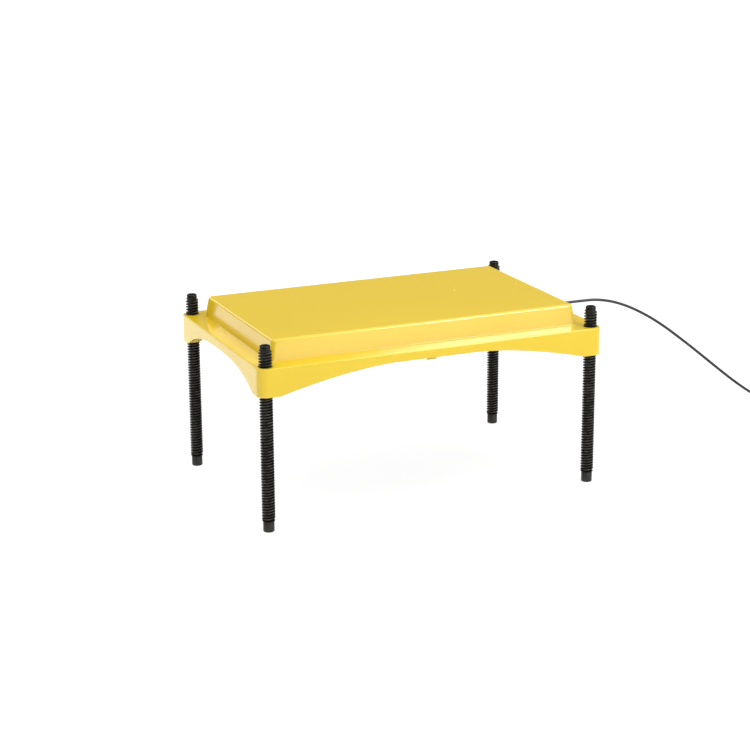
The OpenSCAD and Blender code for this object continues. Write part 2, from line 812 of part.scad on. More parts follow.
// The least gap between stretches of the coil that lie half a turn or more apart along it
coil_least_gap = min([
    for (i = [0:len(coil_route) - 1 - ring_steps / 2], j = [i + ring_steps / 2:1:len(coil_route) - 1])
        norm(coil_route[i] - coil_route[j])
]) - cord_d;
function run_length(r) = len(r) < 2 ? 0
    : [for (i = 1, s = norm(r[1] - r[0]); i < len(r); i = i + 1,
        s = s + (i < len(r) ? norm(r[i] - r[i - 1]) : 0)) s][len(r) - 2];
echo(coil_least_gap = coil_least_gap, cord_length = run_length(cord_route) + run_length(coil_route));

module cord_coil() {
    color([0.08, 0.08, 0.08]) tube(coil_route, cord_d, coil_sides, [0, 0, 1]);
}

// A band round the coil's section on the side away from the plate
module coil_tie() {
    in_r = coil_r - cord_d / 2 - tie_gap;
    out_r = coil_out_r + coil_step / 2 + cord_d / 2 + tie_gap;
    low_z = coil_z - cord_d / 2 - tie_gap;
    high_z = coil_top_z + cord_d / 2 + tie_gap;
    color([0.2, 0.2, 0.2])
        translate([coil_x + (in_r + out_r) / 2, coil_y + tie_w / 2, (low_z + high_z) / 2])
            rotate([90, 0, 0]) linear_extrude(tie_w) difference() {
                round_rect(out_r - in_r + 2 * tie_t, high_z - low_z + 2 * tie_t, tie_r);
                round_rect(out_r - in_r, high_z - low_z, tie_r / 3);
            }
}

// Adapter

// The space of the adapter's body, from its split face down, drawn in by gap
module adapter_half(gap) {
    translate([adapter_x - adapter_l / 2, adapter_y, gap])
        linear_extrude(adapter_z - gap + (gap > 0 ? over : 0))
            round_rect(adapter_l - 2 * gap, adapter_w - 2 * gap, adapter_r - gap);
}

module adapter_shell() {
    difference() {
        adapter_half(0);
        adapter_half(adapter_wall);
        translate([adapter_x - adapter_wall - over, adapter_y, adapter_z]) rotate([0, 90, 0])
            cylinder(d = adapter_neck_d + 2 * cord_gap, h = adapter_wall + 2 * over);
        for (s = [-1, 1])
            translate([adapter_x - adapter_l - over, adapter_y + s * blade_pitch / 2
                - blade_t / 2 - blade_gap, adapter_z - blade_h / 2 - blade_gap])
                cube([adapter_wall + 2 * over, blade_t + 2 * blade_gap, blade_h]);
    }
}

module adapter_lower_shell() {
    color([0.1, 0.1, 0.1]) adapter_shell();
}

module adapter_upper_shell() {
    color([0.12, 0.12, 0.12])
        translate([0, 0, 2 * adapter_z]) mirror([0, 0, 1]) adapter_shell();
}

module adapter_relief() {
    bore_r = cord_d / 2 + cord_gap;
    color([0.14, 0.14, 0.14])
        translate([adapter_x, adapter_y, adapter_z]) rotate([0, 90, 0]) rotate_extrude() polygon([
            [bore_r, -2 * adapter_wall], [adapter_collar_d / 2, -2 * adapter_wall],
            [adapter_collar_d / 2, -adapter_wall], [adapter_neck_d / 2, -adapter_wall],
            [adapter_neck_d / 2, 0], [adapter_relief_d / 2, 0],
            [adapter_tip_d / 2, adapter_relief_l], [bore_r, adapter_relief_l]
        ]);
}

// Two flat blades, each with a stop that lies behind the end wall
module adapter_blades() {
    color("silver") for (s = [-1, 1])
        translate([adapter_x - adapter_l, adapter_y + s * blade_pitch / 2, adapter_z]) {
            translate([-blade_l, -blade_t / 2, -blade_h / 2])
                cube([blade_l + adapter_wall + blade_tail, blade_t, blade_h]);
            translate([adapter_wall, -blade_t / 2 - blade_stop, -blade_h / 2])
                cube([blade_stop, blade_t + 2 * blade_stop, blade_h]);
        }
}

module adapter_core() {
    middle = adapter_x - adapter_l / 2;
    color([0.45, 0.45, 0.47]) difference() {
        translate([middle - core_l / 2, adapter_y - core_w / 2, adapter_wall]) cube([core_l, core_w, core_h]);
        translate([middle - winding_l / 2, adapter_y - winding_w / 2, adapter_wall - over])
            cube([winding_l, winding_w, core_h + 2 * over]);
    }
}

module adapter_winding() {
    middle = adapter_x - adapter_l / 2;
    color([0.72, 0.42, 0.2])
        translate([middle - winding_l / 2, adapter_y - winding_w / 2, adapter_wall])
            cube([winding_l, winding_w, core_h]);
}

// Legs

module leg_bush(i) {
    color("goldenrod") at_leg(i) difference() {
        translate([0, 0, skirt_z]) cylinder(d = bush_d, h = flange_in_z - skirt_z);
        thread(leg_root_d / 2 + thread_gap, leg_d / 2 + thread_gap,
            thread_z + (floor((skirt_z - thread_z) / leg_pitch) - 2) * leg_pitch,
            flange_in_z + 3 * leg_pitch, bush_sides);
    }
}

module leg(i) {
    color([0.13, 0.13, 0.14]) at_leg(i) difference() {
        union() {
            thread(leg_root_d / 2, leg_d / 2, thread_z, thread_top_z, leg_sides);
            translate([0, 0, foot_h])
                cylinder(d = leg_root_d - socket_inset, h = foot_pin_l + 2 * leg_pitch);
            translate([0, 0, thread_top_z - leg_pitch])
                cylinder(d = leg_tip_d, h = leg_tip_l + leg_pitch - leg_chamfer);
            translate([0, 0, leg_len - leg_chamfer])
                cylinder(d1 = leg_tip_d, d2 = leg_tip_d - 2 * leg_chamfer, h = leg_chamfer);
        }
        translate([0, 0, foot_h - over])
            cylinder(d = foot_pin_d + 2 * foot_gap, h = foot_pin_l + foot_gap + over);
    }
}

module foot(i) {
    color([0.25, 0.25, 0.26]) at_leg(i) {
        cylinder(d1 = foot_d - 2 * leg_chamfer, d2 = foot_d, h = leg_chamfer);
        translate([0, 0, leg_chamfer]) cylinder(d = foot_d, h = foot_h - leg_chamfer);
        cylinder(d = foot_pin_d, h = foot_h + foot_pin_l);
    }
}

top_cover();
base_panel();
edge_seal();
panel_screws();
heat_spreader();
heater_mat();
heater_track();
insulation_board();
thermal_cutout();
cutout_clip();
terminal_block();
terminal_screws();
live_wire();
link_wire();
return_wire();
cord_clamp();
clamp_screws();
strain_relief();
cord_run();
cord_coil();
coil_tie();
adapter_lower_shell();
adapter_upper_shell();
adapter_relief();
adapter_blades();
adapter_core();
adapter_winding();
leg_bush(0);  // leg_bush_front_left
leg_bush(1);  // leg_bush_front_right
leg_bush(2);  // leg_bush_back_left
leg_bush(3);  // leg_bush_back_right
leg(0);  // leg_front_left
leg(1);  // leg_front_right
leg(2);  // leg_back_left
leg(3);  // leg_back_right
foot(0);  // foot_front_left
foot(1);  // foot_front_right
foot(2);  // foot_back_left
foot(3);  // foot_back_right
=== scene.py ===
"""Dresses the brooder heater plate: its moulded cover, screw legs, underside, cord and adapter.

The pieces stand on a plain studio stage. Shapes are worked out in millimetres, settings and lamps in metres.
"""

import math

import bmesh
import bpy
from bpy.props import FloatProperty, FloatVectorProperty, IntProperty, PointerProperty
from mathutils import Matrix, Vector


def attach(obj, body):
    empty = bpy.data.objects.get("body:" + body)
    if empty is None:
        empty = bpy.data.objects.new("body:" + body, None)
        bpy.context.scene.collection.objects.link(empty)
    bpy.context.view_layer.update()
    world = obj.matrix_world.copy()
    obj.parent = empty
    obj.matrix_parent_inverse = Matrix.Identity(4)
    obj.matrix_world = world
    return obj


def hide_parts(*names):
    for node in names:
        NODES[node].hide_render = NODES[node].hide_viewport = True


bl_info = {
    "name": "Brooder heater plate",
    "version": (1, 0, 0),
    "blender": (4, 5, 0),
    "location": "3D View > Sidebar > Heater plate",
    "description": "Builds the looks of a heater plate on screw legs around its CAD frame",
    "category": "Object",
}

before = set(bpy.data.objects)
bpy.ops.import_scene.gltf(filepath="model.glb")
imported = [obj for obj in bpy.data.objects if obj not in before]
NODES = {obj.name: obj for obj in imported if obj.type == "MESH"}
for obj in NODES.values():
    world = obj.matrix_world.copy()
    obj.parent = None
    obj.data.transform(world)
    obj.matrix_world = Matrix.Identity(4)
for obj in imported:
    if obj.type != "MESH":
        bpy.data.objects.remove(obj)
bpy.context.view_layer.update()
MM = 0.001
CORNERS = {"front_left": (-1, -1), "front_right": (1, -1), "back_left": (-1, 1), "back_right": (1, 1)}
QUARTER = tuple(math.radians(a) for a in (0, 22.5, 45, 67.5, 90))

# Sizes that the CAD source also has, in millimetres
PLATE_L = 440.0
PLATE_W = 280.0
FLANGE_Z = 197.0
WALL = 2.5
SKIRT_D = 34.0
ARCH_D = 11.0
ARCH_FLAT = 100.0
ARCH_GAP = 2.0
ARCH_POWER = 1.65
END_ARCH_LEVEL = 1.0
END_ARCH_POWER = 3.0
PLATEAU_L = 395.0
PLATEAU_W = 230.0
PLATEAU_RISE = 25.0
PLATEAU_EDGE = 3.0
SLOPE_END = 4.0
SLOPE_SIDE = 3.5
ROOF_Z = FLANGE_Z + PLATEAU_RISE
LEG_INSET = 11.5
LEG_X = PLATE_L / 2 - LEG_INSET
LEG_Y = PLATE_W / 2 - LEG_INSET
LEG_HOLE_R = 8.3
BUSH_HOLE_R = 9.8
LEG_TOP = 222.0
PITCH = 3.4
THREAD_Z = 12.5
TIP_R = 6.2
TIP_Z = 214.1
FOOT_R = 6.6
FOOT_H = 12.5
PEG_R = 2.5
PEG_L = 9.0
SOCKET_R = 2.85
TAB_Y = 123.75
SCREW_X = 172
SCREW_Y = 95
SCREWS_A_SIDE = 4
RIB_X = 100
CORD_Z = 191.88
CORD_R = 1.8
CORD_BORE = 1.88
COIL_X = 645.0
COIL_Y = -26.2
COIL_Z = 3.7
COIL_IN = 18.0
COIL_OUT = 26.2
COIL_STEP = 4.1
COIL_TURNS = 8.5
LAYER_TURNS = 2
ADAPTER_X = 574.0
ADAPTER_Y = -90.0
ADAPTER_Z = 16.0
ADAPTER_L = 58.0
ADAPTER_W = 44.0
ADAPTER_R = 6

# Sizes of the scene's own fine forms, in millimetres
PLATEAU_R = 5.0
ROOT_R = 5.5
CREST_R = 7.9
THREAD_TOP = 218.8
COLLAR_R = 7.5
SOCKET_D = 10.0
PIP_PLACES = ((-86, 10), (94, 11), (178, 7))
HOLLOW_R = 4.3
HOLLOW_D = 3.2
ADAPTER_EDGE = 2.2

# How far a form reaches into the one that carries it, so that the two show no gap
BITE = 0.1

# Half of the thread ridge's section, as shares of the pitch and of the ridge's height
RIDGE = ((0.153, 0.0), (0.329, 0.858), (0.343, 0.904), (0.397, 0.974), (0.471, 1.0))

# The cord's points from the plate to the coil as (x, z), and from the coil to the adapter as (x, y, z)
CORD_RUN = (
    (192, CORD_Z), (220, CORD_Z), (245, CORD_Z), (270, CORD_Z), (290, 191), (312, 186.5), (334, 178.5),
    (355, 168), (376, 155.5), (397, 141), (418, 125), (439, 108.5), (460, 91.5), (481, 74.5), (502, 58),
    (524, 42), (547, 27.5), (571, 15), (594, 7), (614, 4), (628, 3.7), (640, 3.7),
)
CORD_TAIL = (
    (635, -58.5, 16.3), (625.5, -67.5, 16.2), (616, -78, 16.1), (606, -86.5, 16),
    (596, ADAPTER_Y, ADAPTER_Z), (570, ADAPTER_Y, ADAPTER_Z),
)

# Lamps in metres, as (name, place, target, width and height, setting of the power, whether for sheen alone)
LAMPS = (
    ("Key strip", (0.72, -1.57, 1.93), (0, 0, 0.2), (0.5, 2.8), "key_power", False),
    ("Key core", (1.2, -1.95, 1.4), (0, 0, 0.2), (0.55, 0.3), "core_power", False),
    ("Sheen strip", (1.13, -1.8, 1.64), (0.05, -0.1, 0.2), (0.6, 1.2), "sheen_power", True),
    ("Back sheen", (-0.77, 2.02, 1.03), (-0.19, 0, 0.22), (0.6, 0.5), "back_power", True),
    ("Front card", (0.7, -1.78, 0.3), (0, 0, 0.2), (0.9, 0.4), "front_power", False),
    ("Side card", (-0.36, 0.31, 0.1), (-0.21, 0.0, 0.18), (0.34, 0.18), "side_power", False),
)

# Levels of the sky as (height from the horizon at 0 to overhead at 1, share of the sky setting)
SKY_STOPS = ((0.0, 0.4), (0.04, 0.4), (0.12, 0.16), (0.4, 0.18), (0.52, 1.0), (1.0, 1.0))

# The floor in metres, and its paper's greys: as it lights the object, as it takes a shadow, and its white
FLOOR_HALF = 40
FLOOR_DROP = 0.0002
FLOOR_LIT = 0.82
FLOOR_SHADE = 0.3
FLOOR_GLOW = 0.79

# How much rougher scuffs, the crests' rubbed wear and painted highlight, and dust are than the skin below
# them
SCUFF_ROUGHER = 0.25
CREST_ROUGHER = 0.12
DUST_ROUGHER = 0.3

# What a finish has where its row in FINISHES says nothing else. The crests' entry is (low radius, high
# radius, colour) of the lighter crests round the piece's own Z axis: rubbed wear and a painted highlight of
# lit crests.
FINISH_PLAIN = {
    "scuff": 0.0, "scuff_scale": 60.0, "scuffed": (0.5, 0.5, 0.5), "dust": 0.0, "dusty": (0.6, 0.58, 0.54),
    "metallic": 0.0, "ior": 1.5, "crest_wear_and_highlight": None,
}

# What bare metals and the wires' sleeves have in common in the rows below
METAL = {"metallic": 1.0}
SLEEVE = ((0.4, 0.5), 1500, 50, 0.1, 0.00005, {})

# Finishes as (colour, second tone, low and high roughness, grain, wave, bump, its depth in metres, the rest).
# A colour of None comes from the settings.
FINISHES = {
    "Yellow moulding": (None, None, (0.13, 0.17), 1100, 5, 0.03, 0.0001, {
        "scuff": 0.05, "scuff_scale": 45, "scuffed": (0.74, 0.56, 0.08), "ior": 1.55,
        "dust": 0.03, "dusty": (0.72, 0.62, 0.3),
    }),
    "Leg plastic": (None, None, (0.2, 0.28), 1500, 30, 0.12, 0.0001, {
        "scuff": 0.2, "scuff_scale": 140, "scuffed": (0.03, 0.026, 0.021), "ior": 1.32,
        # The crests' lighter colour is rubbed wear and also a painted highlight of the lit thread crests.
        "crest_wear_and_highlight": (7.4, 7.85, (0.085, 0.077, 0.062)),
    }),
    "Foot rubber": (None, None, (0.42, 0.52), 1300, 35, 0.25, 0.0001, {
        "scuff": 0.3, "scuff_scale": 160, "scuffed": (0.1, 0.095, 0.09), "ior": 1.42,
    }),
    "Cord sheath": (None, None, (0.34, 0.46), 1500, 40, 0.15, 0.0001, {
        "scuff": 0.25, "scuff_scale": 150, "scuffed": (0.06, 0.06, 0.06),
    }),
    "Relief rubber": ((0.012, 0.012, 0.012), (0.02, 0.02, 0.02), (0.5, 0.6), 1300, 30, 0.2, 0.0001, {}),
    "Tie nylon": ((0.02, 0.02, 0.021), (0.03, 0.03, 0.03), (0.45, 0.6), 1600, 60, 0.3, 0.0001, {}),
    "Adapter plastic": (None, None, (0.42, 0.52), 1400, 25, 0.35, 0.00012, {
        "scuff": 0.2, "scuffed": (0.1, 0.1, 0.1), "dust": 0.1,
    }),
    "Blade nickel": ((0.72, 0.69, 0.62), (0.66, 0.63, 0.57), (0.22, 0.32), 2000, 60, 0.08, 0.00005, {
        "scuff": 0.4, "scuff_scale": 120, "scuffed": (0.5, 0.48, 0.44), **METAL,
    }),
    "Core steel": ((0.3, 0.3, 0.31), (0.24, 0.24, 0.25), (0.4, 0.55), 1200, 40, 0.2, 0.0001, METAL),
    "Winding copper": ((0.55, 0.24, 0.1), (0.45, 0.19, 0.07), (0.3, 0.42), 1800, 300, 0.3, 0.0001, METAL),
    "Radiant panel": ((0.022, 0.022, 0.023), (0.03, 0.03, 0.03), (0.5, 0.62), 700, 9, 0.6, 0.0003, {
        "scuff": 0.35, "scuff_scale": 50, "scuffed": (0.09, 0.088, 0.085), "dust": 0.1,
    }),
    "Seal foam": ((0.03, 0.03, 0.033), (0.045, 0.045, 0.05), (0.85, 0.95), 500, 60, 0.8, 0.0004, {}),
    "Zinc plate": ((0.6, 0.6, 0.62), (0.52, 0.52, 0.55), (0.28, 0.4), 1800, 80, 0.12, 0.00005, {
        "scuff": 0.4, "scuff_scale": 130, "scuffed": (0.4, 0.4, 0.42), **METAL,
    }),
    "Mill aluminium": ((0.74, 0.75, 0.77), (0.68, 0.69, 0.71), (0.3, 0.42), 900, 20, 0.15, 0.0001, {
        "scuff": 0.4, **METAL,
    }),
    "Mat silicone": ((0.42, 0.11, 0.04), (0.36, 0.09, 0.03), (0.55, 0.65), 600, 25, 0.5, 0.0002, {}),
    "Track foil": ((0.66, 0.46, 0.18), (0.58, 0.38, 0.13), (0.3, 0.4), 1500, 40, 0.1, 0.00005, METAL),
    "Mineral board": ((0.66, 0.6, 0.44), (0.58, 0.52, 0.37), (0.85, 0.95), 350, 30, 0.9, 0.0006, {}),
    "Cut-out plastic": ((0.03, 0.03, 0.032), (0.04, 0.04, 0.042), (0.4, 0.5), 1300, 40, 0.2, 0.0001, {}),
    "Terminal plastic": ((0.72, 0.68, 0.56), (0.66, 0.62, 0.5), (0.4, 0.5), 1200, 40, 0.2, 0.0001, {}),
    "Terminal brass": ((0.7, 0.5, 0.2), (0.62, 0.43, 0.16), (0.25, 0.35), 1700, 60, 0.1, 0.00005, METAL),
    "Brown sleeve": ((0.13, 0.05, 0.02), (0.17, 0.07, 0.03), *SLEEVE),
    "Orange sleeve": ((0.7, 0.2, 0.02), (0.62, 0.17, 0.02), *SLEEVE),
    "Blue sleeve": ((0.03, 0.12, 0.45), (0.03, 0.1, 0.38), *SLEEVE),
    "Clamp plastic": ((0.03, 0.03, 0.032), (0.04, 0.04, 0.042), (0.45, 0.55), 1300, 40, 0.25, 0.0001, {}),
}


# Mesh helpers


def places(long_steps, end_steps, corner_steps):
    """Places round a rounded rectangle, counter-clockwise from its front left, as (stretch, share of it)."""
    found = []
    for k in range(4):
        steps = end_steps if k % 2 else long_steps
        found += [(2 * k, i / steps) for i in range(steps + 1)]
        found += [(2 * k + 1, i / corner_steps) for i in range(1, corner_steps)]
    return found


def outline_point(place, length, width, radius):
    """A place's point on a rounded rectangle."""
    stretch, t = place
    hx, hy = length / 2 - radius, width / 2 - radius
    if stretch % 2:
        corner = stretch // 2
        a = math.radians(90 * (corner - 1 + t))
        cx, cy = ((hx, -hy), (hx, hy), (-hx, hy), (-hx, -hy))[corner]
        return cx + radius * math.cos(a), cy + radius * math.sin(a)
    run = 2 * t - 1
    sides = ((hx * run, -width / 2), (length / 2, hy * run), (-hx * run, width / 2), (-length / 2, -hy * run))
    return sides[stretch // 2]


def ring(around, length, width, radius, z):
    """A rounded rectangle's points at a height."""
    return [(*outline_point(p, length, width, radius), z) for p in around]


def skin(bm, rings, ends=True):
    """Quads from ring to ring, and a face on the first and the last."""
    rows = [[bm.verts.new(Vector(p) * MM) for p in r] for r in rings]
    for a, b in zip(rows, rows[1:]):
        for i in range(len(a)):
            j = (i + 1) % len(a)
            bm.faces.new((a[i], a[j], b[j], b[i]))
    if ends:
        bm.faces.new(list(reversed(rows[0])))
        bm.faces.new(rows[-1])


def lathe(bm, profile, steps=40, start=0.0, sweep=360.0, at=(0, 0, 0), along=None, close=False):
    """Turns a profile of (radius, height) about +Z, or about along, at a point, and gives its rows."""
    turn = Vector((0, 0, 1)).rotation_difference(Vector(along)) if along else None
    whole = sweep > 359.9
    count = steps if whole else steps + 1
    rows = []
    for r, h in profile:
        row = []
        for i in range(count):
            a = math.radians(start + sweep * i / steps)
            p = Vector((r * math.cos(a), r * math.sin(a), h))
            if turn:
                p = turn @ p
            row.append(bm.verts.new((p + Vector(at)) * MM))
            if r < 1e-6:
                break
        rows.append(row)
    pairs = list(zip(rows, rows[1:])) + ([(rows[-1], rows[0])] if close else [])
    for a, b in pairs:
        for i in range(steps):
            j = (i + 1) % count
            corners = [a[i % len(a)], a[j % len(a)], b[j % len(b)], b[i % len(b)]]
            kept = [v for n, v in enumerate(corners) if v not in corners[:n]]
            if len(kept) > 2:
                bm.faces.new(kept)
    return rows


def block(bm, low, high, bevel=0.0):
    """A box between two corners, with its edges bevelled."""
    low, high = Vector(low), Vector(high)
    place = Matrix.Translation((low + high) / 2 * MM) @ Matrix.Diagonal((*((high - low) * MM), 1))
    made = bmesh.ops.create_cube(bm, size=1, matrix=place)["verts"]
    if bevel:
        edges = {e for v in made for e in v.link_edges}
        bmesh.ops.bevel(bm, geom=list(edges), offset=bevel * MM, segments=2, profile=0.5, affect="EDGES")


def mark_sharp(bm, sharp_deg):
    """Smooth faces, with the edges that turn more than an angle kept sharp."""
    limit = math.radians(sharp_deg)
    for f in bm.faces:
        f.smooth = True
    for e in bm.edges:
        e.smooth = len(e.link_faces) == 2 and e.calc_face_angle() < limit


def mesh_of(name, bm, material, sharp_deg):
    """A mesh from a bmesh, smooth with its sharp edges kept."""
    bmesh.ops.recalc_face_normals(bm, faces=bm.faces)
    mark_sharp(bm, sharp_deg)
    mesh = bpy.data.meshes.new(name)
    bm.to_mesh(mesh)
    bm.free()
    mesh.materials.append(material)
    return mesh


def link_new(name, data):
    """A new object in the scene."""
    made = bpy.data.objects.new(name, data)
    bpy.context.scene.collection.objects.link(made)
    return made


def piece(name, bm, material, sharp_deg=35.0):
    """An object from a bmesh."""
    return link_new(name, mesh_of(name, bm, material, sharp_deg))


def settle(made, slot, *nodes, body="plate"):
    """Puts a finished piece on its body and hides the CAD nodes that it stands for. Its slot is not used."""
    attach(made, body)
    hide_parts(*nodes)
    return made


def dress(node, material, bevel=0.0):
    """Gives a CAD node its finish, and a small bevel where its edges show."""
    part = NODES[node]
    part.data.materials.clear()
    part.data.materials.append(material)
    if bevel:
        weld = part.modifiers.new("Weld", "WELD")
        weld.merge_threshold = 0.00001
        cut = part.modifiers.new("Edge bevel", "BEVEL")
        cut.width = bevel * MM
        cut.segments = 2
        cut.limit_method = "ANGLE"
        cut.angle_limit = math.radians(50)
        cut.harden_normals = True
    return part


# Shader helpers


def new_group(name, vectors, numbers, outputs):
    """A shader node group with named sockets, and its own input and output nodes."""
    tree = bpy.data.node_groups.new(name, "ShaderNodeTree")
    sockets = ((vectors, "INPUT", "Vector"), (numbers, "INPUT", "Float"), (outputs, "OUTPUT", "Float"))
    for labels, way, kind in sockets:
        for label in labels:
            tree.interface.new_socket(label, in_out=way, socket_type="NodeSocket" + kind)
    return tree, tree.nodes.new("NodeGroupInput"), tree.nodes.new("NodeGroupOutput")


def feed(tree, socket, value):
    """Links an input to a socket, or sets it to a number or a colour."""
    if hasattr(value, "is_linked"):
        tree.links.new(value, socket)
    else:
        socket.default_value = value


def shader_node(tree, kind, *values):
    """The output of a shader node, with its first inputs set or linked."""
    node = tree.nodes.new("ShaderNode" + kind)
    for socket, value in zip(node.inputs, values):
        feed(tree, socket, value)
    return node.outputs[0]


def axes(tree, vector):
    """The X, Y and Z of a vector."""
    parts = tree.nodes.new("ShaderNodeSeparateXYZ")
    tree.links.new(vector, parts.inputs[0])
    return parts.outputs


def math_node(tree, operation, *values, clamp=False):
    """The output of a math node on numbers or sockets."""
    node = tree.nodes.new("ShaderNodeMath")
    node.operation = operation
    node.use_clamp = clamp
    for socket, value in zip(node.inputs, values):
        feed(tree, socket, value)
    return node.outputs[0]


def noise(tree, vector, scale, detail=2.0, rough=0.5):
    """The output of a noise texture, whose scale is a number or a socket."""
    node = tree.nodes.new("ShaderNodeTexNoise")
    node.inputs["Detail"].default_value = detail
    node.inputs["Roughness"].default_value = rough
    feed(tree, node.inputs["Scale"], scale)
    tree.links.new(vector, node.inputs["Vector"])
    return node.outputs["Fac"]


def remap(tree, value, low, high, to_low=0.0, to_high=1.0):
    """A smooth step of a value from one range to another."""
    node = tree.nodes.new("ShaderNodeMapRange")
    node.interpolation_type = "SMOOTHSTEP"
    for i, x in enumerate((low, high, to_low, to_high)):
        node.inputs[i + 1].default_value = x
    tree.links.new(value, node.inputs[0])
    return node.outputs[0]


def mix_colours(tree, share, a, b):
    """A mix of two colours, each given as a colour or a socket."""
    node = tree.nodes.new("ShaderNodeMix")
    node.data_type = "RGBA"
    tree.links.new(share, node.inputs["Factor"])
    for socket, value in ((node.inputs[6], a), (node.inputs[7], b)):
        feed(tree, socket, value if hasattr(value, "is_linked") else (*value, 1))
    return node.outputs[2]


def moulded_grain_group():
    """The fine grain and slow waves of a moulded skin."""
    tree, source, result = new_group("Moulded grain", ["Vector"], ["Grain", "Wave"], ["Height", "Tone"])
    where = source.outputs["Vector"]
    fine = noise(tree, where, source.outputs["Grain"], detail=3.0, rough=0.6)
    slow = noise(tree, where, source.outputs["Wave"])
    fine_share = math_node(tree, "MULTIPLY", fine, 0.6)
    slow_share = math_node(tree, "MULTIPLY", slow, 0.4)
    tree.links.new(math_node(tree, "ADD", fine_share, slow_share), result.inputs["Height"])
    tree.links.new(remap(tree, slow, 0.32, 0.68), result.inputs["Tone"])
    return tree


def scuff_group():
    """Sparse short scratches and rubbed spots, as a mask."""
    tree, source, result = new_group("Scuffs", ["Vector"], ["Scale", "Amount"], ["Mask"])
    where = source.outputs["Vector"]
    stretch = tree.nodes.new("ShaderNodeMapping")
    stretch.inputs["Scale"].default_value = (1.0, 7.0, 3.0)
    stretch.inputs["Rotation"].default_value = (0.2, 0.1, 0.6)
    tree.links.new(where, stretch.inputs["Vector"])
    scratches = noise(tree, stretch.outputs[0], source.outputs["Scale"], detail=4.0, rough=0.62)
    lines = remap(tree, scratches, 0.6, 0.74)
    spots = remap(tree, noise(tree, where, 9.0), 0.45, 0.65)
    mask = math_node(tree, "MULTIPLY", lines, spots)
    mask = math_node(tree, "MULTIPLY", mask, source.outputs["Amount"], clamp=True)
    tree.links.new(mask, result.inputs["Mask"])
    return tree


def dust_group():
    """Fine dust that settles on faces that look up, as a mask."""
    tree, source, result = new_group("Settled dust", ["Vector", "Normal"], ["Amount"], ["Mask"])
    where = source.outputs["Vector"]
    up = remap(tree, axes(tree, source.outputs["Normal"])["Z"], 0.5, 0.98)
    specks = remap(tree, noise(tree, where, 420.0, detail=3.0, rough=0.7), 0.5, 0.8)
    clouds = noise(tree, where, 6.0)
    mask = math_node(tree, "MULTIPLY", up, math_node(tree, "MULTIPLY", specks, clouds))
    mask = math_node(tree, "MULTIPLY", mask, source.outputs["Amount"], clamp=True)
    tree.links.new(mask, result.inputs["Mask"])
    return tree


GROUP_BUILDERS = {"Moulded grain": moulded_grain_group, "Scuffs": scuff_group, "Settled dust": dust_group}
GROUPS = {}


def group_node(tree, name, vector, **values):
    """A node of one of the groups, which are made once, with its values set or linked."""
    if name not in GROUPS:
        GROUPS[name] = GROUP_BUILDERS[name]()
    node = tree.nodes.new("ShaderNodeGroup")
    node.node_tree = GROUPS[name]
    tree.links.new(vector, node.inputs["Vector"])
    for label, value in values.items():
        feed(tree, node.inputs[label], value)
    return node


def crest_wear_and_highlight_mask(tree, where, low, high):
    """A patchy mask of what stands out from the piece's own Z axis, from a low to a high radius: wear and
    painted highlight.
    """
    x, y, _ = axes(tree, where)
    squares = [math_node(tree, "POWER", side, 2.0) for side in (x, y)]
    across = math_node(tree, "SQRT", math_node(tree, "ADD", *squares))
    patches = remap(tree, noise(tree, where, 130.0, detail=3.0), 0.35, 0.7)
    return math_node(tree, "MULTIPLY", remap(tree, across, low * MM, high * MM), patches)


def finish(name, colour=None, second=None):
    """The moulded, drawn or plated finish of a name: two tones, grain, scuffs, crests with rubbed wear and a
    painted highlight, and dust.
    """
    material = bpy.data.materials.get(name)
    if material:
        return material
    own_colour, own_second, rough, grain, wave, bump, depth, rest = FINISHES[name]
    more = {**FINISH_PLAIN, **rest}
    material = bpy.data.materials.new(name)
    material.use_nodes = True
    tree = material.node_tree
    shader = tree.nodes["Principled BSDF"]
    shader.inputs["Metallic"].default_value = more["metallic"]
    shader.inputs["IOR"].default_value = more["ior"]
    where = tree.nodes.new("ShaderNodeTexCoord").outputs["Object"]
    grains = group_node(tree, "Moulded grain", where, Grain=grain, Wave=wave)
    tone = grains.outputs["Tone"]
    base = mix_colours(tree, tone, own_colour or colour, own_second or second)
    roughness = remap(tree, tone, 0.0, 1.0, *rough)
    layers = []
    if more["scuff"]:
        scuffs = group_node(tree, "Scuffs", where, Scale=more["scuff_scale"], Amount=more["scuff"])
        layers.append((scuffs.outputs["Mask"], more["scuffed"], SCUFF_ROUGHER))
    # Lighter crests: rubbed wear, and also a painted highlight where the thread's crests catch the light.
    if more["crest_wear_and_highlight"]:
        low, high, rubbed = more["crest_wear_and_highlight"]
        layers.append((crest_wear_and_highlight_mask(tree, where, low, high), rubbed, CREST_ROUGHER))
    if more["dust"]:
        normal = tree.nodes.new("ShaderNodeNewGeometry").outputs["Normal"]
        dust = group_node(tree, "Settled dust", where, Normal=normal, Amount=more["dust"])
        layers.append((dust.outputs["Mask"], more["dusty"], DUST_ROUGHER))
    for mask, tint, rougher in layers:
        base = mix_colours(tree, mask, base, tint)
        added = math_node(tree, "MULTIPLY", mask, rougher)
        roughness = math_node(tree, "ADD", roughness, added, clamp=True)
    tree.links.new(base, shader.inputs["Base Color"])
    tree.links.new(roughness, shader.inputs["Roughness"])
    relief = tree.nodes.new("ShaderNodeBump")
    relief.inputs["Strength"].default_value = bump
    relief.inputs["Distance"].default_value = depth
    tree.links.new(grains.outputs["Height"], relief.inputs["Height"])
    tree.links.new(relief.outputs["Normal"], shader.inputs["Normal"])
    return material


def two_tones(name, colour, lighter):
    """A finish whose second tone is its colour made lighter."""
    return finish(name, colour, [c * lighter for c in colour])


# Settings that a user would change, and the options that they share

COLOUR = {"subtype": "COLOR", "min": 0, "max": 1}
POWER = {"unit": "POWER", "min": 0}
FINE = {"unit": "LENGTH", "precision": 4}


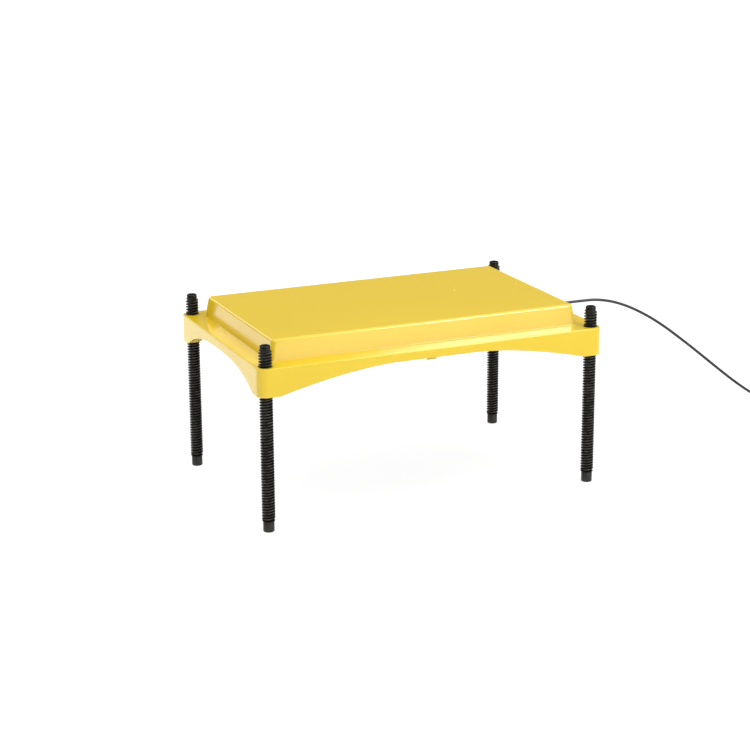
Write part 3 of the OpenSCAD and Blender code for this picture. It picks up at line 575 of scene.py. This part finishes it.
class HeaterStageSettings(bpy.types.PropertyGroup):
    """Camera and light of the studio."""

    lens: FloatProperty(
        name="Lens", description="Focal length on a 36 mm wide picture, in millimetres",
        default=95.455, min=20, max=300,
    )
    camera_place: FloatVectorProperty(
        name="Camera place", description="Where the camera stands",
        default=(-0.94864, -2.14485, 0.82277), subtype="TRANSLATION", unit="LENGTH",
    )
    camera_turn: FloatVectorProperty(
        name="Camera turn", description="Pitch, roll and yaw of the camera",
        default=(math.radians(-16.527), math.radians(0.356), math.radians(-23.444)), subtype="EULER",
    )
    key_power: FloatProperty(
        name="Key strip", description="Power of the tall light at the front", default=3.0, **POWER,
    )
    core_power: FloatProperty(
        name="Key core", description="Power of the small light to the right of the tall one",
        default=13.5, **POWER,
    )
    sheen_power: FloatProperty(
        name="Sheen strip", description="Power of the strip that gives only the front edges' bright lines",
        default=24.0, **POWER,
    )
    back_power: FloatProperty(
        name="Back sheen", description="Power of the strip that gives only the left edge's bright line",
        default=2.4, **POWER,
    )
    front_power: FloatProperty(
        name="Front card", description="Power of the low card at the front", default=2.4, **POWER,
    )
    side_power: FloatProperty(
        name="Side card", description="Power of the low card behind the left end", default=0.1, **POWER,
    )
    sky: FloatProperty(
        name="Sky", description="Level of the soft light from above", default=1.5, min=0, max=3,
    )


class HeaterCoverSettings(bpy.types.PropertyGroup):
    """Fine shapes and colour of the cover."""

    edge_round: FloatProperty(
        name="Edge rounding", description="Rounding of the flange's outer edge",
        default=0.0012, min=0.0003, max=0.003, **FINE,
    )
    foot_fillet: FloatProperty(
        name="Foot fillet", description="Reach of the fillet at the plateau's foot",
        default=0.0015, min=0.0003, max=0.004, **FINE,
    )
    pip_radius: FloatProperty(
        name="Gate mark", description="Radius of the small moulding marks on the plateau",
        default=0.0016, min=0.0005, max=0.003, **FINE,
    )
    colour: FloatVectorProperty(
        name="Cover colour", description="Yellow of the moulded cover",
        default=(0.77, 0.545, 0.018), **COLOUR,
    )
    second: FloatVectorProperty(
        name="Cover second tone", description="Slightly deeper yellow of the cover's slow waves",
        default=(0.75, 0.525, 0.015), **COLOUR,
    )


class HeaterLegSettings(bpy.types.PropertyGroup):
    """Thread detail and colour of the legs."""

    turn_steps: IntProperty(
        name="Steps a turn", description="Steps of the thread's mesh in one turn", default=28, min=12, max=64,
    )
    colour: FloatVectorProperty(
        name="Leg colour", description="Black of the legs", default=(0.006, 0.005, 0.0035), **COLOUR,
    )
    foot_colour: FloatVectorProperty(
        name="Foot colour", description="Dark grey of the feet", default=(0.015, 0.014, 0.013), **COLOUR,
    )


class HeaterCordSettings(bpy.types.PropertyGroup):
    """Cord and adapter."""

    colour: FloatVectorProperty(
        name="Cord colour", description="Black of the cord's sheath",
        default=(0.014, 0.014, 0.015), **COLOUR,
    )
    adapter_colour: FloatVectorProperty(
        name="Adapter colour", description="Black of the adapter's shells",
        default=(0.02, 0.02, 0.021), **COLOUR,
    )
    seam: FloatProperty(
        name="Shell seam", description="Chamfer where the adapter's shells meet",
        default=0.0004, min=0, max=0.001, **FINE,
    )


# The stage, the pieces and their operators


def add_camera(scene, s):
    """The camera, turned from a level view along +Y."""
    cam = link_new("Camera", bpy.data.cameras.new("Camera"))
    cam.data.lens = s.lens
    cam.data.sensor_width = 36.0
    cam.data.sensor_fit = "HORIZONTAL"
    cam.data.clip_end = 200
    pitch, roll, yaw = s.camera_turn
    turn = Matrix.Rotation(yaw, 4, "Z") @ Matrix.Rotation(pitch, 4, "X") @ Matrix.Rotation(roll, 4, "Y")
    cam.matrix_world = Matrix.Translation(s.camera_place) @ turn @ Matrix.Rotation(math.pi / 2, 4, "X")
    scene.camera = cam


def add_lamp(name, place, target, size, power, sheen):
    """A lamp that faces its target. One for sheen is seen in reflections and lights nothing else."""
    light = bpy.data.lights.new(name, "AREA")
    light.shape = "RECTANGLE"
    light.size, light.size_y = size
    light.energy = power
    made = link_new(name, light)
    made.location = place
    made.rotation_mode = "QUATERNION"
    made.rotation_quaternion = (Vector(target) - Vector(place)).to_track_quat("-Z", "Y")
    made.visible_camera = False
    made.visible_diffuse = not sheen


def add_sky(scene, level):
    """A dim horizon, a darker band above it and a broad soft light overhead."""
    world = bpy.data.worlds.new("Studio")
    scene.world = world
    world.use_nodes = True
    tree = world.node_tree
    height = axes(tree, tree.nodes.new("ShaderNodeTexCoord").outputs["Generated"])["Z"]
    ramp = tree.nodes.new("ShaderNodeValToRGB")
    ramp.color_ramp.interpolation = "EASE"
    while len(ramp.color_ramp.elements) < len(SKY_STOPS):
        ramp.color_ramp.elements.new(0.5)
    for stop, (at, value) in zip(ramp.color_ramp.elements, SKY_STOPS):
        stop.position = at
        stop.color = (value, value, value, 1)
    tree.links.new(height, ramp.inputs[0])
    back = tree.nodes["Background"]
    tree.links.new(ramp.outputs[0], back.inputs["Color"])
    back.inputs["Strength"].default_value = level


def add_floor():
    """Pale paper, which looks white and still takes the object's shadow."""
    bm = bmesh.new()
    bmesh.ops.create_grid(bm, x_segments=1, y_segments=1, size=FLOOR_HALF)
    paper = bpy.data.materials.new("Studio paper")
    floor = piece("Floor", bm, paper)
    floor.location.z = -FLOOR_DROP
    paper.use_nodes = True
    tree = paper.node_tree
    tree.nodes.remove(tree.nodes["Principled BSDF"])
    path = tree.nodes.new("ShaderNodeLightPath")
    seen = path.outputs["Is Camera Ray"]
    for ray in ("Is Glossy Ray", "Is Transmission Ray"):
        seen = math_node(tree, "MAXIMUM", seen, path.outputs[ray])
    lit = shader_node(tree, "BsdfDiffuse", (FLOOR_LIT, FLOOR_LIT, FLOOR_LIT, 1))
    shade = shader_node(tree, "BsdfDiffuse", (FLOOR_SHADE, FLOOR_SHADE, FLOOR_SHADE, 1))
    glow = shader_node(tree, "Emission", (1, 1, 1, 1), FLOOR_GLOW)
    pick = shader_node(tree, "MixShader", seen, lit, shader_node(tree, "AddShader", shade, glow))
    tree.links.new(pick, tree.nodes["Material Output"].inputs["Surface"])


class HEATER_OT_stage(bpy.types.Operator):
    """Makes the camera, the soft lights and the pale floor"""

    bl_idname = "heater.stage"
    bl_label = "Studio stage"

    def execute(self, context):
        s = context.scene.heater_stage
        scene = context.scene
        scene.view_settings.view_transform = "Standard"
        add_camera(scene, s)
        for name, place, target, size, setting, sheen in LAMPS:
            add_lamp(name, place, target, size, getattr(s, setting), sheen)
        add_sky(scene, s.sky)
        add_floor()
        return {"FINISHED"}


def smooth_line(points, step):
    """Points about a step apart on a smooth curve through the given ones."""
    p = [Vector(x) for x in points]
    p = [2 * p[0] - p[1], *p, 2 * p[-1] - p[-2]]
    found = []
    for a, b, c, d in zip(p, p[1:], p[2:], p[3:]):
        n = max(1, round((c - b).length / step))
        for i in range(n):
            t = i / n
            square = (2 * a - 5 * b + 4 * c - d) * t * t
            cube = (3 * b - a - 3 * c + d) * t ** 3
            found.append(0.5 * (2 * b + (c - a) * t + square + cube))
    return [*found, p[-2]]


def ease(t):
    """A smooth step from 0 to 1."""
    t = max(0.0, min(1.0, t))
    return t * t * (3 - 2 * t)


def coil_points(steps_a_turn=24, climb_turns=0.5):
    """The coil's layers, wound inwards and outwards in turn, each a step above the last."""
    found = []
    wound = 4 * LAYER_TURNS
    for i in range(int(COIL_TURNS * steps_a_turn) + 1):
        t = i / steps_a_turn
        v = t % (2 * LAYER_TURNS)
        if t >= wound:
            r = COIL_OUT + COIL_STEP * (t - wound)
        elif v < LAYER_TURNS:
            r = COIL_OUT - COIL_STEP * v
        else:
            r = COIL_IN + COIL_STEP * (v - LAYER_TURNS)
        lift = sum(ease((t - k * LAYER_TURNS) / climb_turns + 0.5) for k in (1, 2, 3))
        a = 2 * math.pi * t
        found.append((COIL_X + r * math.sin(a), COIL_Y + r * math.cos(a), COIL_Z + COIL_STEP * lift))
    return found


def cord_line():
    """The cord's centreline: out of the plate, down to the floor, round the coil and to the adapter."""
    run = [(x, 0, z) for x, z in CORD_RUN]
    return smooth_line([*run, *coil_points(), *CORD_TAIL], 3.0)


def tube(name, line, material):
    """A round tube along a line."""
    data = bpy.data.curves.new(name, "CURVE")
    data.dimensions = "3D"
    data.bevel_depth = CORD_R * MM
    data.bevel_resolution = 3
    data.use_fill_caps = True
    spline = data.splines.new("POLY")
    spline.points.add(len(line) - 1)
    for point, p in zip(spline.points, line):
        point.co = (*(p * MM), 1)
    data.materials.append(material)
    return link_new(name, data)


def sleeve(root_r, length, groove_d, tip_r=2.7, grooves=4):
    """The outside of a tapered sleeve with grooves, from its root to its tip, and its end."""
    chamfer = 0.5
    tip_round = 0.4
    plain = length / 6
    first = length * 0.24
    spacing = length * 0.7 / grooves
    width = length * 0.62 / grooves
    profile = [(root_r - chamfer, 0.0), (root_r, chamfer)]
    for i in range(grooves):
        for share, cut in ((0, 0), (0.18, 1), (0.5, 1), (0.68, 0)):
            height = first + i * spacing + share * width
            r = root_r + (tip_r - root_r) * max(0, (height - plain) / (length - plain))
            profile.append((r - groove_d * cut, height))
    return profile + [(tip_r, length - tip_round), (tip_r - tip_round, length), (CORD_BORE, length)]


def plate_relief(rubber):
    """The sleeve outside the skirt, its neck through the wall and the collar that holds it inside."""
    bm = bmesh.new()
    neck_r = 3.2
    neck = [(CORD_BORE, -WALL), (neck_r, -WALL), (neck_r, 0.0)]
    outside = sleeve(root_r=4.7, length=24.0, groove_d=0.55)
    lathe(bm, neck + outside, 32, at=(PLATE_L / 2, 0, CORD_Z), along=(1, 0, 0), close=True)
    near, far = 215.5, 217.45
    half, slot = 4.5, 1.9
    low, bridge, high = 190, 193.8, 194.5
    for y0, z0, y1 in ((-half, low, -slot), (slot, low, half), (-slot, bridge, slot)):
        block(bm, (near, y0, z0), (far, y1, high))
    return settle(piece("Strain_relief", bm, rubber), "relief_rubber", "strain_relief")


def adapter_relief(rubber):
    """The sleeve outside the adapter, its neck through the wall and the collar inside."""
    bm = bmesh.new()
    collar_r, collar_end = 3.5, -4.0
    neck_r, neck_end = 2.8, -2.0
    collar = [(CORD_BORE, collar_end), (collar_r, collar_end), (collar_r, neck_end)]
    neck = collar + [(neck_r, neck_end), (neck_r, 0.0)]
    outside = sleeve(root_r=4.0, length=22.0, groove_d=0.5)
    lathe(bm, neck + outside, 32, at=(ADAPTER_X, ADAPTER_Y, ADAPTER_Z), along=(1, 0, 0), close=True)
    return settle(piece("Adapter_relief", bm, rubber), "relief_rubber", "adapter_relief")


def coil_tie():
    """A flat band round the coil's turns, with rounded edges."""
    bm = bmesh.new()
    low, high = 1.5, 18.2
    near, far = 660.8, 675.45
    thick, half, soft = 1.2, 2.5, 0.3
    around = places(8, 8, 6)
    middle = Vector(((near + far) / 2, COIL_Y, (low + high) / 2))
    outside = [(thick, 1.5, half - soft), (thick - soft, 1.3, half)]
    inside = [(soft, 0.7, half), (0.0, 0.5, half - soft)]
    right = outside + inside
    left = [(grow, r, -y) for grow, r, y in reversed(right)]
    loops = []
    for grow, r, y in right + left:
        flat = [outline_point(p, far - near + 2 * grow, high - low + 2 * grow, r) for p in around]
        loops.append([middle + Vector((a, y, b)) for a, b in flat])
    skin(bm, loops + loops[:1], ends=False)
    bmesh.ops.remove_doubles(bm, verts=bm.verts, dist=1e-7)
    return settle(piece("Coil_tie", bm, finish("Tie nylon")), "tie_plastic", "coil_tie")


def adapter_shells(s):
    """The adapter's two halves, with rounded edges and a chamfered seam between them."""
    plastic = two_tones("Adapter plastic", s.adapter_colour, 1.4)
    around = places(6, 6, 8)
    seam = s.seam / MM
    levels = [(ADAPTER_EDGE * (1 - math.sin(a)), ADAPTER_EDGE * (1 - math.cos(a))) for a in QUARTER]
    levels += [(0.0, ADAPTER_Z - seam), (seam, ADAPTER_Z)]
    middle = Vector((ADAPTER_X - ADAPTER_L / 2, ADAPTER_Y, ADAPTER_Z))
    made = []
    for name, side in (("lower", 1), ("upper", -1)):
        bm = bmesh.new()
        rings = []
        for d, z in levels:
            level = side * (z - ADAPTER_Z)
            flat = ring(around, ADAPTER_L - 2 * d, ADAPTER_W - 2 * d, ADAPTER_R - d, level)
            rings.append([middle + Vector(p) for p in flat])
        skin(bm, rings)
        shell = piece("Adapter_%s_shell" % name, bm, plastic)
        made.append(settle(shell, "adapter_plastic", "adapter_%s_shell" % name))
    return made


def adapter_inside():
    """The adapter's blades, core and winding."""
    return [
        dress("adapter_blades", finish("Blade nickel"), 0.3),
        dress("adapter_core", finish("Core steel")),
        dress("adapter_winding", finish("Winding copper")),
    ]


class HEATER_OT_cord(bpy.types.Operator):
    """Lays the cord with its strain reliefs, the coil's tie and the adapter"""

    bl_idname = "heater.cord"
    bl_label = "Cord and adapter"

    def execute(self, context):
        s = context.scene.heater_cord
        rubber = finish("Relief rubber")
        line = cord_line()
        cord = tube("Cord", line, two_tones("Cord sheath", s.colour, 1.5))
        settle(cord, "cord_sheath", "cord_run", "cord_coil")
        reliefs = [plate_relief(rubber), adapter_relief(rubber)]
        pieces = [*reliefs, coil_tie(), *adapter_shells(s), *adapter_inside()]
        return {"FINISHED"}


def skirt_bottom(place, x, y):
    """Height of the skirt's lower edge: the arches between the corner posts."""
    stretch = place[0]
    if stretch % 2:
        return FLANGE_Z - SKIRT_D
    if stretch in (0, 4):
        along, half, level, power = x, PLATE_L / 2, ARCH_FLAT / 2, ARCH_POWER
    else:
        along, half, level, power = y, PLATE_W / 2, END_ARCH_LEVEL, END_ARCH_POWER
    half -= 2 * LEG_INSET + ARCH_GAP
    share = max(0.0, min(1.0, (abs(along) - level) / (half - level)))
    return FLANGE_Z - ARCH_D - (SKIRT_D - ARCH_D) * share ** power


def cover_levels(s):
    """Rings from the roof's inside, down and round the skirt's edge, and up to the roof's outside."""
    around = places(96, 64, 14)
    post_wall = LEG_INSET - BUSH_HOLE_R

    def outer(inset, z, inside=False):
        """A ring of the flange. On the inside, the corners are cut back for the bushes."""
        found = []
        for stretch, t in around:
            post = inside and (stretch % 2 or t in (0, 1))
            at = min(inset, post_wall) if post else inset
            x, y = outline_point((stretch, t), PLATE_L - 2 * at, PLATE_W - 2 * at, LEG_INSET - at)
            found.append((x, y, z))
        return found

    def rim(inset, above, inside=False):
        """A ring a little above the skirt's lower edge."""
        flat = outer(inset, 0.0, inside)
        return [(x, y, skirt_bottom(p, x, y) + above) for p, (x, y, z) in zip(around, flat)]

    def plateau(inset, height, round_in=0.0, out=0.0):
        """A ring of the plateau's slopes, moved in by its wall and rounding and out by its fillet."""
        share = height / PLATEAU_RISE
        trim = inset + round_in - out
        length = PLATEAU_L - 2 * (trim + SLOPE_END * share)
        width = PLATEAU_W - 2 * (trim + SLOPE_SIDE * share)
        return ring(around, length, width, max(PLATEAU_R - trim, 0.3), FLANGE_Z + height)

    def rounded(inset, radius, steps):
        """The rounding between the plateau's slopes and its top."""
        found = []
        for i in range(steps + 1):
            a = math.radians(90 * i / steps)
            height = PLATEAU_RISE - inset - radius * (1 - math.sin(a))
            found.append(plateau(inset, height, radius * (1 - math.cos(a))))
        return found

    soft, soft_mid = 0.5, 0.15
    flange_in, roof_in, fillet_rise = 3.0, 9.5, 0.93
    roof_inside = rounded(WALL, PLATEAU_EDGE - WALL / 2, 3)
    inside = [outer(WALL, FLANGE_Z - WALL, True), plateau(WALL, -WALL), plateau(WALL, 0)]
    skirt_edge = [
        rim(WALL, soft, True), rim(WALL - soft_mid, soft_mid, True), rim(WALL - soft, 0.0, True),
        rim(soft, 0.0), rim(soft_mid, soft_mid), rim(0.0, soft),
    ]
    e, f = s.edge_round / MM, s.foot_fillet / MM
    flange_edge = [outer(e * (1 - math.cos(a)), FLANGE_Z - e * (1 - math.sin(a))) for a in QUARTER]
    flat = outer(e + flange_in, FLANGE_Z)
    fillet = []
    for i in range(6):
        t = i / 5
        fillet.append(plateau(0, fillet_rise * f * t * t, 0, f * (1 - t) ** 2))
    roof = [*rounded(0, PLATEAU_EDGE, 10), plateau(0, PLATEAU_RISE, roof_in)]
    return [*roof_inside[::-1], *inside[::-1], *skirt_edge, *flange_edge, flat, *fillet, *roof]


def cut_holes(cover):
    """Cuts the holes for the legs and the cord."""
    bm = bmesh.new()
    low, high = FLANGE_Z - 12, FLANGE_Z + 8
    hole = [(0, low), (LEG_HOLE_R, low), (LEG_HOLE_R, high), (0, high)]
    for sx, sy in CORNERS.values():
        lathe(bm, hole, 64, at=(sx * LEG_X, sy * LEG_Y, 0))
    cord_r, reach = 3.28, 6
    hole = [(0, -reach), (cord_r, -reach), (cord_r, reach), (0, reach)]
    lathe(bm, hole, 32, at=(PLATE_L / 2 - 1, 0, CORD_Z), along=(1, 0, 0))
    cutter = piece("Hole cutter", bm, cover.data.materials[0])
    drill = cover.modifiers.new("Holes", "BOOLEAN")
    drill.operation = "DIFFERENCE"
    drill.solver = "EXACT"
    drill.object = cutter
    graph = bpy.context.evaluated_depsgraph_get()
    mesh = bpy.data.meshes.new_from_object(cover.evaluated_get(graph))
    cover.modifiers.clear()
    cover.data = mesh
    bpy.data.objects.remove(cutter)


def add_posts(bm):
    """The inner halves of the corner posts, whose ends lie in the skirt's wall."""
    top = FLANGE_Z - WALL + BITE
    low = FLANGE_Z - SKIRT_D + 0.03
    soft = FLANGE_Z - SKIRT_D + 0.5
    bore_r = BUSH_HOLE_R + 0.02
    profile = [
        (bore_r, top), (bore_r, soft), (BUSH_HOLE_R + 0.4, low),
        (LEG_INSET - 0.4, low), (LEG_INSET, soft), (LEG_INSET, top),
    ]
    sweep = 198
    for sx, sy in CORNERS.values():
        start = math.degrees(math.atan2(-sy, -sx)) - sweep / 2
        rows = lathe(bm, profile, 36, start, sweep, at=(sx * LEG_X, sy * LEG_Y, 0), close=True)
        for end in (0, -1):
            bm.faces.new([row[end] for row in rows])


def add_inside(bm):
    """The screw posts and the ribs under the roof."""
    top = ROOF_Z - WALL + BITE
    bore_r, post_r, low = 1.85, 4.5, 190
    post = [(bore_r, low), (post_r, low), (post_r, top), (bore_r, top)]
    for i in range(SCREWS_A_SIDE):
        x = SCREW_X * (2 * i / (SCREWS_A_SIDE - 1) - 1)
        for y in (-SCREW_Y, SCREW_Y):
            lathe(bm, post, 24, at=(x, y, 0), close=True)
    rib_half, rib_reach, rib_low = 1, 85, 205.4
    for x in (-RIB_X, 0, RIB_X):
        block(bm, (x - rib_half, -rib_reach, rib_low), (x + rib_half, rib_reach, top))


def add_tabs(bm):
    """The retaining tabs with their hooks under the panel, front and back."""
    half_w, half_t = 6, 1.25
    low, top = 179.5, FLANGE_Z - WALL + BITE
    hook_low, hook_high = 184.6, 187
    hook_root, hook_tip = 1.0, 2.85
    for side in (-1, 1):
        y = side * TAB_Y
        block(bm, (-half_w, y - half_t, low), (half_w, y + half_t, top), 0.4)
        near, far = sorted((y - side * hook_root, y - side * hook_tip))
        block(bm, (-half_w, near, hook_low), (half_w, far, hook_high), 0.3)


def add_pips(bm, s):
    """Small moulding marks: a shallow ring with a nib."""
    r = s.pip_radius / MM
    profile = [
        (0, -0.2), (r * 1.25, -0.2), (r * 1.2, 0.12), (r, 0.2), (r * 0.85, 0.14),
        (r * 0.7, 0.5), (r * 0.5, 0.8), (r * 0.25, 0.93), (0, 0.96),
    ]
    for x, y in PIP_PLACES:
        lathe(bm, profile, 20, at=(x, y, ROOF_Z))


class HEATER_OT_cover(bpy.types.Operator):
    """Builds the moulded cover with its plateau, arched skirt, corner posts, tabs and moulding marks"""

    bl_idname = "heater.cover"
    bl_label = "Cover"

    def execute(self, context):
        s = context.scene.heater_cover
        yellow = finish("Yellow moulding", s.colour, s.second)
        bm = bmesh.new()
        skin(bm, cover_levels(s))
        cover = piece("Top_cover", bm, yellow)
        cut_holes(cover)
        bm = bmesh.new()
        bm.from_mesh(cover.data)
        add_posts(bm)
        add_inside(bm)
        add_tabs(bm)
        add_pips(bm, s)
        bmesh.ops.recalc_face_normals(bm, faces=bm.faces)
        mark_sharp(bm, 30)
        bm.to_mesh(cover.data)
        bm.free()
        weigh = cover.modifiers.new("Weighted normals", "WEIGHTED_NORMAL")
        weigh.keep_sharp = True
        settle(cover, "yellow_moulding", "top_cover")
        for k in CORNERS:
            dress("leg_bush_" + k, yellow)
        return {"FINISHED"}


def leg_mesh(material, n):
    """A ridge wound up the leg in n steps a turn, with its foot's socket, collar and upper end."""
    bm = bmesh.new()
    add_thread(bm, n)
    floor = LEG_TOP - HOLLOW_D
    lathe(bm, [
        (0, TIP_Z), (TIP_R, TIP_Z), (TIP_R, LEG_TOP - 1.0), (TIP_R - 0.3, LEG_TOP - 0.35),
        (TIP_R - 0.9, LEG_TOP), (HOLLOW_R + 0.4, LEG_TOP), (HOLLOW_R + 0.1, LEG_TOP - 0.4),
        (HOLLOW_R, floor), (0, floor),
    ])
    low, top = FOOT_H + 0.1, FOOT_H + 2.2
    bore_r = SOCKET_R + 0.1
    lathe(bm, [
        (bore_r, low), (COLLAR_R - 0.4, low), (COLLAR_R, FOOT_H + 0.5), (COLLAR_R, FOOT_H + 1.2),
        (ROOT_R, top), (bore_r, top),
    ], close=True)
    return mesh_of("Leg", bm, material, 40)


def add_thread(bm, n):
    """The ridge fades in and out at its ends. The lower end is open for the foot's peg."""
    profile = [(0.0, 0.0), *RIDGE, *((1 - lift, share) for lift, share in reversed(RIDGE))]
    steps = int((THREAD_TOP - THREAD_Z) / PITCH * n) - n
    fade = 0.3 * n
    least = 0.06

    def at(i, lift, r):
        a = 2 * math.pi * i / n
        return Vector((r * math.cos(a), r * math.sin(a), THREAD_Z + PITCH * (i / n + lift))) * MM

    rows = []
    for i in range(steps + n + 1):
        high = max(least, min(1.0, i / fade, (steps - i) / fade)) * (CREST_R - ROOT_R)
        section = profile if i <= steps else profile[:1]
        rows.append([bm.verts.new(at(i, lift, ROOT_R + high * share)) for lift, share in section])
    for i in range(steps):
        a = rows[i] + [rows[i + n][0]]
        b = rows[i + 1] + [rows[i + 1 + n][0]]
        for j in range(len(profile)):
            bm.faces.new((a[j], b[j], b[j + 1], a[j + 1]))
    mouth = [bm.verts.new(at(i, 0.0, SOCKET_R)) for i in range(n + 1)]
    roof = [bm.verts.new((v.co.x, v.co.y, (FOOT_H + SOCKET_D) * MM)) for v in mouth[:n]]
    top = bm.verts.new((0, 0, (THREAD_Z + PITCH * (steps / n + 1)) * MM))
    for i in range(n):
        bm.faces.new((mouth[i], mouth[i + 1], rows[i + 1][0], rows[i][0]))
        seam = [] if i else [mouth[n]]
        bm.faces.new([mouth[i], *seam, roof[i], roof[(i + 1) % n], mouth[i + 1]])
        bm.faces.new((top, rows[steps + i][0], rows[steps + i + 1][0]))
    bm.faces.new(roof)
    bm.faces.new([mouth[0], *rows[0], rows[n][0], mouth[n]])
    bm.faces.new([top, rows[steps + n][0], *reversed(rows[steps][1:]), rows[steps][0]])


def foot_mesh(material):
    """A plain foot with a dished end and the peg on which its leg turns."""
    bm = bmesh.new()
    dish = 0.4
    peg_top = FOOT_H + PEG_L
    lathe(bm, [
        (0, dish), (3.4, dish), (3.8, 0.0), (FOOT_R - 1.0, 0.0), (FOOT_R - 0.3, 0.3), (FOOT_R, 1.0),
        (FOOT_R, FOOT_H - 0.6), (FOOT_R - 0.4, FOOT_H - 0.1), (PEG_R, FOOT_H - 0.05),
        (PEG_R, peg_top - 0.4), (PEG_R - 0.4, peg_top), (0, peg_top),
    ])
    return mesh_of("Foot", bm, material, 40)


class HEATER_OT_legs(bpy.types.Operator):
    """Builds the screw-thread legs and their swivel feet"""

    bl_idname = "heater.legs"
    bl_label = "Legs and feet"

    def execute(self, context):
        s = context.scene.heater_legs
        leg = leg_mesh(two_tones("Leg plastic", s.colour, 1.35), s.turn_steps)
        foot = foot_mesh(two_tones("Foot rubber", s.foot_colour, 1.3))
        for k, (sx, sy) in CORNERS.items():
            for mesh, name, body, slot, node in (
                (leg, "Leg_", "leg_%s_screw", "leg_plastic", "leg_"),
                (foot, "Foot_", "foot_%s_carrier", "foot_rubber", "foot_"),
            ):
                made = link_new(name + k, mesh)
                made.location = (sx * LEG_X * MM, sy * LEG_Y * MM, 0)
                settle(made, slot, node + k, body=body % k)
        return {"FINISHED"}


class HEATER_OT_underside(bpy.types.Operator):
    """Finishes the radiant panel, its seal and the screws"""

    bl_idname = "heater.underside"
    bl_label = "Underside"

    def execute(self, context):
        zinc = finish("Zinc plate")
        dress("base_panel", finish("Radiant panel"))
        dress("edge_seal", finish("Seal foam"))
        dress("panel_screws", zinc, 0.25)
        dress("clamp_screws", zinc, 0.15)
        dress("cutout_clip", zinc)
        return {"FINISHED"}


class HEATER_OT_heater(bpy.types.Operator):
    """Finishes the heater and the wiring inside the cover"""

    bl_idname = "heater.heater"
    bl_label = "Heater and wiring"

    def execute(self, context):
        for node, name in (
            ("heat_spreader", "Mill aluminium"),
            ("heater_mat", "Mat silicone"),
            ("heater_track", "Track foil"),
            ("insulation_board", "Mineral board"),
            ("thermal_cutout", "Cut-out plastic"),
            ("terminal_block", "Terminal plastic"),
            ("terminal_screws", "Terminal brass"),
            ("live_wire", "Brown sleeve"),
            ("link_wire", "Orange sleeve"),
            ("return_wire", "Blue sleeve"),
            ("cord_clamp", "Clamp plastic"),
        ):
            dress(node, finish(name))
        return {"FINISHED"}


class HEATER_PT_panel(bpy.types.Panel):
    """Lists the heater plate's builders and settings"""

    bl_label = "Heater plate"
    bl_idname = "HEATER_PT_panel"
    bl_space_type = "VIEW_3D"
    bl_region_type = "UI"
    bl_category = "Heater plate"

    def draw(self, context):
        for operator, settings in STEPS:
            box = self.layout.box()
            box.operator(operator.bl_idname)
            for key in getattr(settings, "__annotations__", {}):
                box.prop(getattr(context.scene, SETTINGS[settings]), key)


SETTINGS = {
    HeaterStageSettings: "heater_stage",
    HeaterCoverSettings: "heater_cover",
    HeaterLegSettings: "heater_legs",
    HeaterCordSettings: "heater_cord",
}
STEPS = (
    (HEATER_OT_stage, HeaterStageSettings),
    (HEATER_OT_cord, HeaterCordSettings),
    (HEATER_OT_cover, HeaterCoverSettings),
    (HEATER_OT_legs, HeaterLegSettings),
    (HEATER_OT_underside, None),
    (HEATER_OT_heater, None),
)
CLASSES = (*SETTINGS, *(step[0] for step in STEPS), HEATER_PT_panel)


def register():
    for c in CLASSES:
        bpy.utils.register_class(c)
    for settings, key in SETTINGS.items():
        setattr(bpy.types.Scene, key, PointerProperty(type=settings))


def unregister():
    for key in SETTINGS.values():
        delattr(bpy.types.Scene, key)
    for c in reversed(CLASSES):
        bpy.utils.unregister_class(c)


def main():
    register()
    bpy.ops.heater.stage()
    bpy.ops.heater.cord()
    bpy.ops.heater.cover()
    bpy.ops.heater.legs()
    bpy.ops.heater.underside()
    bpy.ops.heater.heater()


if __name__ == "__main__":
    main()
